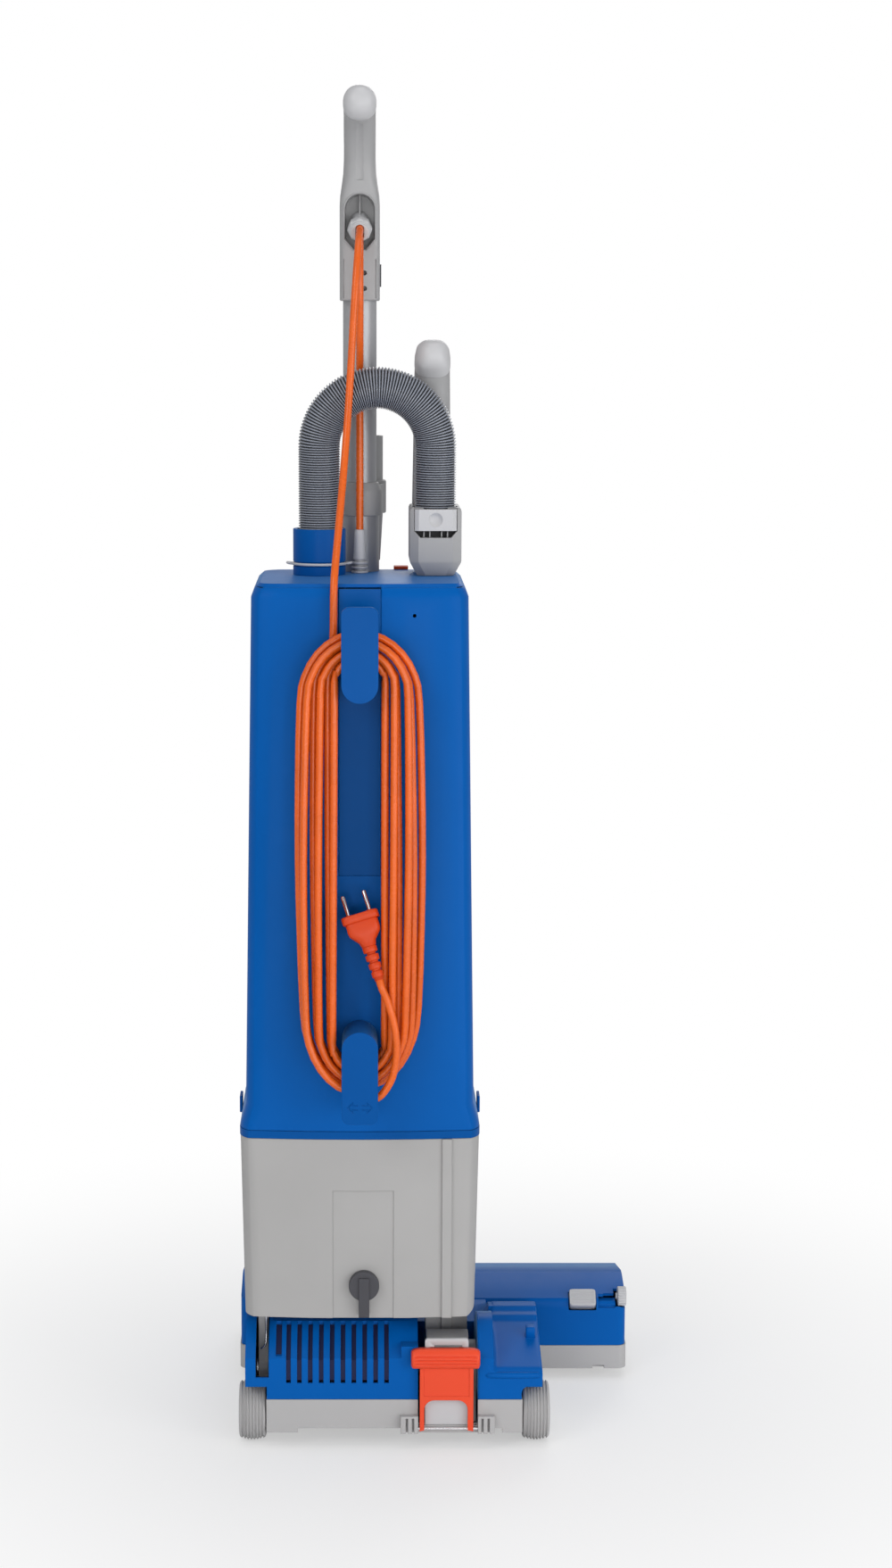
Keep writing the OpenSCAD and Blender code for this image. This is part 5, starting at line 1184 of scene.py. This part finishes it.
# Solids that get rounded edges: node, body, finish, slot, edge radius in metres
SOFTENED = (
    ("upper_hook", "body", "Fitting blue plastic", "blue_plastic", 0.0012),
    ("lower_hook", "lower_hook", "Fitting blue plastic", "blue_plastic", 0.0007),
    ("release_lever", "lever", "Dark grey plastic", "dark_plastic", 0.0012),
    ("neck_backplate", "head", "Light grey plastic", "light_grey", 0.0008),
    ("cover_latch", "latch", "Plug orange plastic", "clip_orange", 0.0006),
    ("side_catches", "body", "Fitting blue plastic", "blue_plastic", 0.0008),
    ("head_base", "head", "Base grey plastic", "base_grey", 0.0008),
    ("head_cover", "head", "Shell blue plastic", "blue_plastic", 0.0008),
    ("motor_case", "body", "Case grey plastic", "case_grey", 0.0008),
    ("back_shell", "body", "Shell blue plastic", "blue_plastic", 0.0008),
    ("front_cover", "cover", "Shell blue plastic", "blue_plastic", 0.0008),
    ("case_rim", "body", "Fitting blue plastic", "blue_plastic", 0.0006),
    ("neck_duct", "body", "Case grey plastic", "case_grey", 0.001),
    ("pivot_arm", "body", "Case grey plastic", "case_grey", 0.0008),
    ("crevice_nozzle", "nozzle", "Tube grey plastic", "tube_grey", 0.0007),
    ("hose_port", "body", "Fitting blue plastic", "blue_plastic", 0.0007),
    ("pivot_bracket", "head", "Blackened steel", "steel", 0.0004),
)

# Solids that keep their own mesh, by their finish
CARRIED = {
    "Tube grey plastic": ("suction_duct", "brush_bearing", "case_pipe", "wand_tube"),
    "Dark grey plastic": (
        "front_roller_left", "front_roller_right", "brush_core", "brush_motor", "power_switch",
    ),
    "Clip red plastic": ("side_slider",),
    "Bright steel": (
        "rear_axle_pins", "front_roller_pins", "motor_shaft", "clip_pin", "cover_pin", "impeller",
    ),
    "Tube aluminium": ("handle_tubes",),
    "Motor can metal": ("suction_motor",),
    "Rubber belt": ("drive_belt",),
}


def clip_bar():
    """Grip bar of the neck clip: three grooves, and ends that round off."""
    rings = []
    for k in range(63):
        x = 45.7 + 61.4 * k / 62
        end = min(x - 45.7, 107.1 - x)
        fall = 3.4 * (1 - math.sqrt(1 - (1 - min(end, 9) / 9) ** 2))
        lift = 2.4 * (1 - math.sqrt(1 - (1 - min(end, 2.6) / 2.6) ** 2))
        thin = 1 - 0.3 * (1 - math.sqrt(1 - (1 - min(end, 2.4) / 2.4) ** 2))
        low, high = 76 + lift, 94 - fall
        ring = [(x, -25.6, high), (x, -25.6, low)]
        for i in range(49):
            t = i / 48
            bulge = (math.sin(math.pi * (0.06 + 0.88 * t))) ** 0.34 * 9.2
            groove = sum(math.exp(-(((t - g) / 0.036) ** 2)) for g in (0.27, 0.46, 0.65))
            bulge -= 1.35 * groove * smooth_step(1.6, 4.6, end)
            ring.append((x, -25.6 - bulge * thin, low + (high - low) * t))
        rings.append(ring)
    return mesh_object("bar", *loft(rings))


def clip_plate():
    """Front plate of the clip, arched over the duct's foot, with a panel and hinge legs."""
    angles = [math.radians(9 * k) for k in range(11)]
    outline = [(53.5, 17), (57.5, 18)]
    outline += [(66.5 - 9 * math.cos(a), 37 + 9 * math.sin(a)) for a in angles]
    outline += [(87.3 + 9 * math.sin(a), 37 + 9 * math.cos(a)) for a in angles]
    outline += [(96.3, 18), (101.3, 17), (101.3, 86), (53.5, 86)]
    plate = extruded("plate", outline, "y", -29.5, -25.5)
    outline = [(57.2, 49.6), (97.6, 49.6), (97.6, 90), (57.2, 90)]
    panel = extruded("panel", outline, "y", -31, -28.9)
    cut(plate, panel, rod("bore", 1.75, 0, 60, (48, -27.5, 19), (1, 0, 0), 24))
    return round_edges(plate, 0.0006, 30, 2)


class VACUUM_OT_housings(StepBase, bpy.types.Operator):
    """Shells, trays and small mouldings taken from the solids"""

    bl_idname = "vacuum.housings"
    bl_label = "Housings"

    def build(self, context):
        for node, body, paint, slot, width in SOFTENED:
            piece = softened(node, width)
            if node == "neck_backplate":
                levels = [(92.2, 0), (95.4, 0)]
                engraved(piece, boxed("slot", 66.5, 91.5, -30, -15, levels, 12, 32))
            dress(piece, paint, slot, body, node)
        teeth = [
            boxed("tooth", x, x + 4, -27, -24.4, [(91, 0), (94, 0)], 12, 24)
            for x in (62.5, 88.3)
        ]
        clip = join("duct_clip_moulding", [clip_plate(), clip_bar(), *teeth])
        dress(clip, "Clip red plastic", "clip_orange", "clip", "duct_clip")
        for paint, nodes in CARRIED.items():
            for node in nodes:
                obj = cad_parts[node]
                obj.data.materials.clear()
                obj.data.materials.append(finish(paint))


class VACUUM_OT_wheels(StepBase, bpy.types.Operator):
    """Grooved barrel wheels at the back of the head"""

    bl_idname = "vacuum.wheels"
    bl_label = "Wheels"

    def build(self, context):
        def crown(h):
            return WHEEL_R - 10.4 * (h / 24) ** 2

        profile = [
            (4.07, -12), (9, -12), (9.6, -11), (18.6, -11), (19.4, -12), (22.4, -12),
            (24.2, -11.5), (crown(10.6), -10.6),
        ]
        for i in range(7):
            h = -8.7 + 2.9 * i
            low = crown(h) - 1.3
            profile += [(crown(h), h - 0.95), (low, h - 0.45)]
            profile += [(low, h + 0.45), (crown(h), h + 0.95)]
        profile += [(r, -h) for r, h in reversed(profile[:8])]
        profile.append(profile[0])
        for side, x in WHEEL_X.items():
            centre = (x, 0, WHEEL_R)
            wheel = turned("wheel_tread_" + side, profile, centre, (1, 0, 0), 64, False)
            round_edges(wheel, 0.0002, 24, 1)
            dress(wheel, "Base grey plastic", "base_grey", "wheel_" + side, "wheel_" + side)


def smooth_step(low, high, value):
    t = max(0, min(1, (value - low) / (high - low)))
    return t * t * (3 - 2 * t)


# Heights over the rear axle line of the barrel beside the neck and of the block: y, z
BARREL_TOP = ((-24, 83), (6, 107.5), (20, 109.5), (36, 106.5), (52, 96.5), (80, 81), (132, 78.4))
BLOCK_TOP = (
    (-24, 67.4), (-20, 72), (20, 80), (62, 88.4), (65, 91.6), (76, 92.6), (79, 95.6),
    (92, 96), (132, 81),
)


def height_on(table, y):
    for (y0, z0), (y1, z1) in zip(table, table[1:]):
        if y <= y1:
            return z0 + (z1 - z0) * (y - y0) / (y1 - y0)
    return table[-1][1]


def block_profile(x, inset):
    """Side outline of the cover beside the neck, from the barrel at x 107 to the wheel block."""
    share = smooth_step(106, 124, x)
    top = []
    for k in range(79):
        y = -24 + 2 * k
        near = [max(-24, min(132, y + d)) for d in (-2, -1, 0, 1, 2)]
        barrel = sum(height_on(BARREL_TOP, v) for v in near) / 5
        block = sum(height_on(BLOCK_TOP, v) for v in near) / 5
        top.append((max(y, -24 + inset), barrel + (block - barrel) * share - inset))
    return [(132, 45.2), *reversed(top), (-24 + inset, 45.2)]


class VACUUM_OT_fittings(StepBase, bpy.types.Operator):
    """Strain relief, cord gland, port clip, ridge button and knob"""

    bl_idname = "vacuum.fittings"
    bl_label = "Fittings"

    def build(self, context):
        ribs = [(0, -8), (3.75, -8), (3.75, 0)]
        for i, r in enumerate((7.4, 7.3, 7.2)):
            z = 4.1 * i
            ribs += [(r - 0.3, z), (r, z + 0.3), (r, z + 1.8), (r - 0.4, z + 2.1)]
            ribs += [(4.4, z + 2.2), (4.4, z + 3.9)]
        ribs += [(5.9, 12.2), (6.0, 13.2), (5.7, 14.2), (4.65, 37.6)]
        ribs += [(4.3, 38.7), (3.4, 39), (0, 39)]
        relief_piece = turned("cord_strain_relief", ribs, (0, HOSE_Y + 16, BODY_TOP), (0, 0, 1), 40)
        round_edges(relief_piece, 0.0002, 30, 1)
        dress(relief_piece, "Light grey plastic", "tube_grey", "body", "strain_relief")

        nut = [(7.1, -9), (10.2, -9), (11, -8.3), (11, -2.7), (10.1, -1.8), (7.1, -1.8), (7.1, -9)]
        shapes = [turned("nut", nut, GLAND, GLAND_WAY, 8, False)]
        face = [
            (0, -3), (9.8, -3), (9.8, -0.9), (9.4, -0.5), (9, -0.5), (9, 0.8),
            (8.6, 1.2), (8.2, 1.2), (8.2, 2.4), (7.7, 2.9), (0, 2.9),
        ]
        face = turned("face", face, GLAND, GLAND_WAY)
        mouth = [
            [
                GLAND + GLAND_WAY * h + Vector((3.8 * math.cos(a), 0, 0))
                + GLAND_UP * (3.8 * math.sin(a) + math.copysign(3.6, math.sin(a)))
                for a in (math.radians(15 * k + 7.5) for k in range(24))
            ]
            for h in (-1.4, 6)
        ]
        shapes.append(cut(face, mesh_object("mouth", *loft(mouth))))
        shapes.append(rod("stem", 7.9, -25, -9, GLAND, GLAND_WAY, 32))
        gland = join("cord_gland_nut", shapes)
        round_edges(gland, 0.0003, 30, 2)
        dress(gland, "Light grey plastic", "light_grey", "body", "gland")
        # a dark disc on the floor of the gland's mouth, as painted shade inside it
        shade_plate = rod("gland_seal", 7.8, -1.6, -1.1, GLAND, GLAND_WAY, 32)
        dress(shade_plate, "Dark grey plastic", "dark_plastic", "body")

        angles = (math.radians(a) for a in range(0, 361, 6))
        ring = [
            (PORT_X + 23.7 * math.cos(a), HOSE_Y + 23.7 * math.sin(a), BODY_TOP + 10)
            for a in angles
        ]
        shapes = [swept("ring", ring, 1.25, 10)]
        for s in (-1, 1):
            tab = [(24.2, -3.4, 0), (27, -3.6, 0.3), (28.4, -2, 0.6), (28.6, 0, 0.6)]
            tab += [(28.4, 2, 0.6), (27, 3.6, 0.3), (24.2, 3.4, 0)]
            tab = [(PORT_X + s * x, HOSE_Y + y, BODY_TOP + 10 + z) for x, y, z in tab]
            shapes.append(swept("tab", smooth_line(tab, 3), 1.1, 10))
        clip = join("port_wire_clip", shapes)
        dress(clip, "Light grey plastic", "light_grey", "body", "port_clip")

        # collar: a ring on the tubes, a ring for the nozzle and the webs between them
        foot = Vector((0, TUBE_Y, 823))
        hold = Vector((3.6, TUBE_Y + 40, 823))
        clamp = [
            (17.55, 0), (19.3, 0), (20, 0.8), (20, 21), (19.2, 24), (16.8, 29.6), (16.2, 30),
            (15.06, 30), (15.06, 20.1), (17.55, 20.1), (17.55, 0),
        ]
        socket = [(17.6, 0), (19.8, 0), (20.5, 0.8), (20.5, 28.8)]
        socket += [(19.7, 30), (17.6, 30), (17.6, 0)]
        web = [(-17.5, 137), (18, 137), (22.6, 164), (-15.6, 164)]
        web = extruded("web", web, "z", 824, 850)
        cut(web, *(rod("bore", 18.4, -2, 32, at, UP) for at in (foot, hold)))
        ring = turned("ring", socket, hold, UP, 56, False)
        mouth = [(-7.4, 176), (14.6, 176), (14.6, 210), (-7.4, 210)]
        cut(ring, extruded("mouth", mouth, "z", 820, 860))
        collar = join("handle_collar", [turned("clamp", clamp, foot, UP, 56, False), web, ring])
        round_edges(collar, 0.0004, 30, 2)
        dress(collar, "Tube grey plastic", "tube_grey", "body", "tube_collar")

        # rounded skin over the block beside the neck, with its bead and stop
        stations = [(105.9, 1.2), (106.3, 0.3), *((107 + 1.5 * k, 0) for k in range(36))]
        stations += [(161.6, 0), (162.7, 0.5), (163.3, 1.9)]
        rings = [
            [(x, y, z) for y, z in block_profile(x, inset - 0.5)] for x, inset in stations
        ]
        skin = mesh_object("skin", *loft(rings))
        arch = [(144.6, 40), (144.6, 51), (145.6, 54.6), (148.6, 56.6), (175, 56.9), (175, 40)]
        cut(skin, extruded("arch", arch, "y", -30, 31))
        round_edges(skin, 0.0006, 40, 2)
        line = [(x, -23.2, 67.2) for x in (112, 115, 135, 159, 161.4)]
        bead = swept("bead", line, [0.9, 2.6, 2.9, 2.6, 0.9], 20)
        levels = [(78, 0), (91, 0), (92.2, 0.4), (92.6, 1.3)]
        stop = boxed("stop", 151, 159.6, 30, 41, levels, 7, 32)
        block = join("wheel_block_skin", [skin, bead, stop])
        dress(block, "Shell blue plastic", "blue_plastic", "head")

        # dark navy sheet behind the cooling slots, as painted shade inside the slots, and the arm's wire
        inner = [(-21.45, 62), (-21.45, 80.4), (7.2, 104.9), (16, 106.3)]
        back = [(y + 0.9, z - 0.7) for y, z in reversed(inner)]
        screen = extruded("motor_screen", inner + back, "x", -79.6, 46)
        dress(round_edges(screen, 0.0002, 40, 1), "Motor screen", "dark_plastic", "head")
        wire = [
            (-84.4, 8.8, 114), (-84.4, 8.8, 104), (-84.4, 8.6, 97), (-84.4, 7.6, 91),
            (-84.8, 6.8, 86), (-86.6, 6.8, 82.6), (-89, 7.4, 81),
        ]
        wire = swept("arm_wire", smooth_line(wire, 4), 0.9, 10)
        dress(wire, "Bright steel", "steel", "body")

        # ridge button, square to its 45 degree seat
        middle = Vector((211.8, 152, 79))
        out, along = Vector((0, -1, 1)).normalized(), Vector((0, 1, 1)).normalized()
        rings = [
            section(middle + out * h, (1, 0, 0), along, 25.1 - 2 * inset, 17.2 - 2 * inset, 9, 48)
            for h, inset in ((-8, 0), (1.7, 0), (2.3, 0.25), (2.6, 0.9))
        ]
        button = mesh_object("button", *loft(rings))
        grooves = []
        for k in (-5.4, -2.7, 0, 2.7, 5.4):
            at = middle + out * 2.7 + along * k
            line = [at + Vector((x, 0, 0)) for x in (-10.4, 10.4)]
            grooves.append(swept("groove", line, 0.75, 8))
        engraved(button, *grooves)
        dress(button, "Light grey plastic", "light_grey", "brush_button", "brush_button")

        # thumb knob with flutes, and the shallow blue recess beside it
        rings = []
        stations = [(243.8, 3, 0), (245.3, 3, 0), (245.5, 8.4, 0.1)]
        stations += [(246.1, 9.4, 0.45), (252.9, 9.4, 0.45), (253.6, 8.6, 0.1)]
        for x, r, depth in stations:
            ring = []
            for k in range(96):
                a = 2 * math.pi * k / 96
                wave = r - depth * (0.5 + 0.5 * math.cos(20 * a)) * 2
                ring.append((x, 158 + wave * math.cos(a), 79 + wave * math.sin(a)))
            rings.append(ring)
        knob = mesh_object("knob", *loft(rings))
        round_edges(knob, 0.0002, 40, 1)
        dress(knob, "Light grey plastic", "light_grey", "height_knob", "height_knob")
        liner = [(152.6, 68), (152.6, 73), (154.4, 75.4), (163, 76)]
        liner += [(163, 74), (156, 73), (155.4, 68)]
        liner = extruded("ridge_recess", liner, "x", 226.6, 243.4, True)
        round_edges(liner, 0.0005, 30, 2)
        dress(liner, "Shell blue plastic", "blue_plastic", "head")


class VACUUM_OT_inside(StepBase, bpy.types.Operator):
    """Dust bag with its collar, pleated filter and brush bristles"""

    bl_idname = "vacuum.inside"
    bl_label = "Inside pieces"

    def build(self, context):
        rings = []
        for i in range(41):
            t = i / 40
            full = min(1, 0.8 + 2.4 * t) * min(1, 0.72 + 1.7 * (1 - t))
            middle = (-20, 54, 331 + 367.5 * t)
            ring = section(middle, (1, 0, 0), (0, 1, 0), 125 * full, 111 * full, 3.4, 96)
            for k, p in enumerate(ring):
                a = 2 * math.pi * k / 96
                fold = 0.5 + 0.5 * math.sin(7 * a + 4 * math.sin(5 * t + a))
                crease = 0.5 + 0.5 * math.sin(34 * t + 2.5 * math.sin(3 * a))
                tuck = abs(math.cos(a)) ** 24
                shrink = 1 - 0.03 * fold - 0.02 * crease - 0.1 * tuck * t * (1 - t) * 4
                p.x, p.y = -20 + (p.x + 20) * shrink, 54 + (p.y - 54) * shrink
            rings.append(ring)
        bag = mesh_object("dust_bag_paper", *loft(rings))
        levels = [(699.2, 1), (699.8, 0), (702.4, 0), (703, 0.8)]
        collar = boxed("bag_collar", -78, 22, 20, 110, levels, 16, 56)
        for piece in (bag, collar):
            cut(piece, rod("mouth", 17, -14, 9, (PORT_X, HOSE_Y, 697), UP, 40))
        dress(bag, "Bag fleece", "bag_paper", "body", "dust_bag")
        round_edges(collar, 0.0003, 30, 1)
        dress(collar, "Bag collar card", "bag_paper", "body")

        # one V fold at the origin, set side by side along the frame
        fold = [(-2, 12.4), (-0.4, 0), (0.4, 0), (2, 12.4), (1.2, 12.4), (0, 2.4), (-1.2, 12.4)]
        fold = extruded("fold", [(BODY_OFFSET + x, y - AXLE_Y) for x, y in fold], "z", 0, 80)
        spots = [((-64 + 4 * i, 137.6, 167), UP) for i in range(33)]
        pleats = set_on_points("filter_pleats", spots, fold, "Filter fleece")
        dress(pleats, "Filter fleece", "filter_white", "body", "exhaust_filter")
        levels = [(163.2, 0), (250.8, 0)]
        edge = boxed("filter_frame", -70, 70, 136.2, 151.6, levels, 40, 40, False)
        gap = [(-66.4, 166.6), (66.4, 166.6), (66.4, 247.4), (-66.4, 247.4)]
        cut(edge, extruded("gap", gap, "y", 130, 160))
        round_edges(edge, 0.0005, 30, 2)
        dress(edge, "Light grey plastic", "filter_white", "body")

        # one tuft at the origin, set in two rows that wind round the core
        hairs = []
        for k in range(15):
            r, a = 0.62 * math.sqrt(k), 2.4 * k
            root = Vector((BODY_OFFSET + r * math.cos(a), r * math.sin(a) - AXLE_Y, -0.5))
            tip = root + Vector((0.35 * r * math.cos(a), 0.35 * r * math.sin(a), 11.9))
            hairs.append(swept("hair", [root, tip], [0.26, 0.17], 5))
        tuft = join("tuft", hairs)
        spots = []
        for s in (0, 180):
            for i in range(51):
                turn = math.radians(s + abs(i / 2 - 13) * 9)
                aim = Vector((0, -math.sin(turn), math.cos(turn)))
                spots.append((Vector((-78 + 5.96 * i, 258, 30)) + aim * 17, aim))
        rows = set_on_points("brush_tufts", spots, tuft, "Nylon bristle", 0.05, 11)
        dress(rows, "Nylon bristle", "bristle_black", "brush", "bristles")


class VACUUM_OT_spring(StepBase, bpy.types.Operator):
    """Balance spring on the tilt pivot"""

    bl_idname = "vacuum.spring"
    bl_label = "Tilt spring"

    def build(self, context):
        turns, radius, x0, y0, z0, length = 4, 10.5, -74.5, 20, 60, 11
        points = turns * TURN_STEPS
        coil = []
        for i in range(points + 1):
            a = 2 * math.pi * i / TURN_STEPS
            y, z = y0 - radius * math.sin(a), z0 - radius * math.cos(a)
            coil.append((x0 + i * length / points, y, z))
        line = [(x0, y0 + 30, z0 - radius), (x0, y0 + 14, z0 - radius), *coil]
        line += [(x0 + length, y0 + 14, z0 - radius), (x0 + length, y0 + 30, z0 - radius)]
        spring = swept("balance_spring", line, 1.1)
        dress(spring, "Blackened steel", "steel", "head", "tilt_spring")


STEPS = (
    VACUUM_OT_stage,
    VACUUM_OT_plug,
    VACUUM_OT_cords,
    VACUUM_OT_hose,
    VACUUM_OT_grips,
    VACUUM_OT_housings,
    VACUUM_OT_wheels,
    VACUUM_OT_fittings,
    VACUUM_OT_inside,
    VACUUM_OT_spring,
)


class VACUUM_PT_panel(bpy.types.Panel):
    """Lists the steps that build the cleaner"""

    bl_label = "Upright vacuum cleaner"
    bl_idname = "VACUUM_PT_panel"
    bl_space_type = "VIEW_3D"
    bl_region_type = "UI"
    bl_category = "Vacuum"

    def draw(self, context):
        for step in STEPS:
            self.layout.operator(step.bl_idname)


CLASSES = (VacuumFinishes, VacuumSizes, *STEPS, VACUUM_PT_panel)


def register():
    for cls in CLASSES:
        bpy.utils.register_class(cls)
    bpy.types.Scene.vacuum_finishes = bpy.props.PointerProperty(type=VacuumFinishes)
    bpy.types.Scene.vacuum_sizes = bpy.props.PointerProperty(type=VacuumSizes)


def unregister():
    del bpy.types.Scene.vacuum_sizes
    del bpy.types.Scene.vacuum_finishes
    for cls in reversed(CLASSES):
        bpy.utils.unregister_class(cls)


def main():
    register()
    for step in STEPS:
        family, name = step.bl_idname.split(".")
        getattr(getattr(bpy.ops, family), name)()


if __name__ == "__main__":
    main()
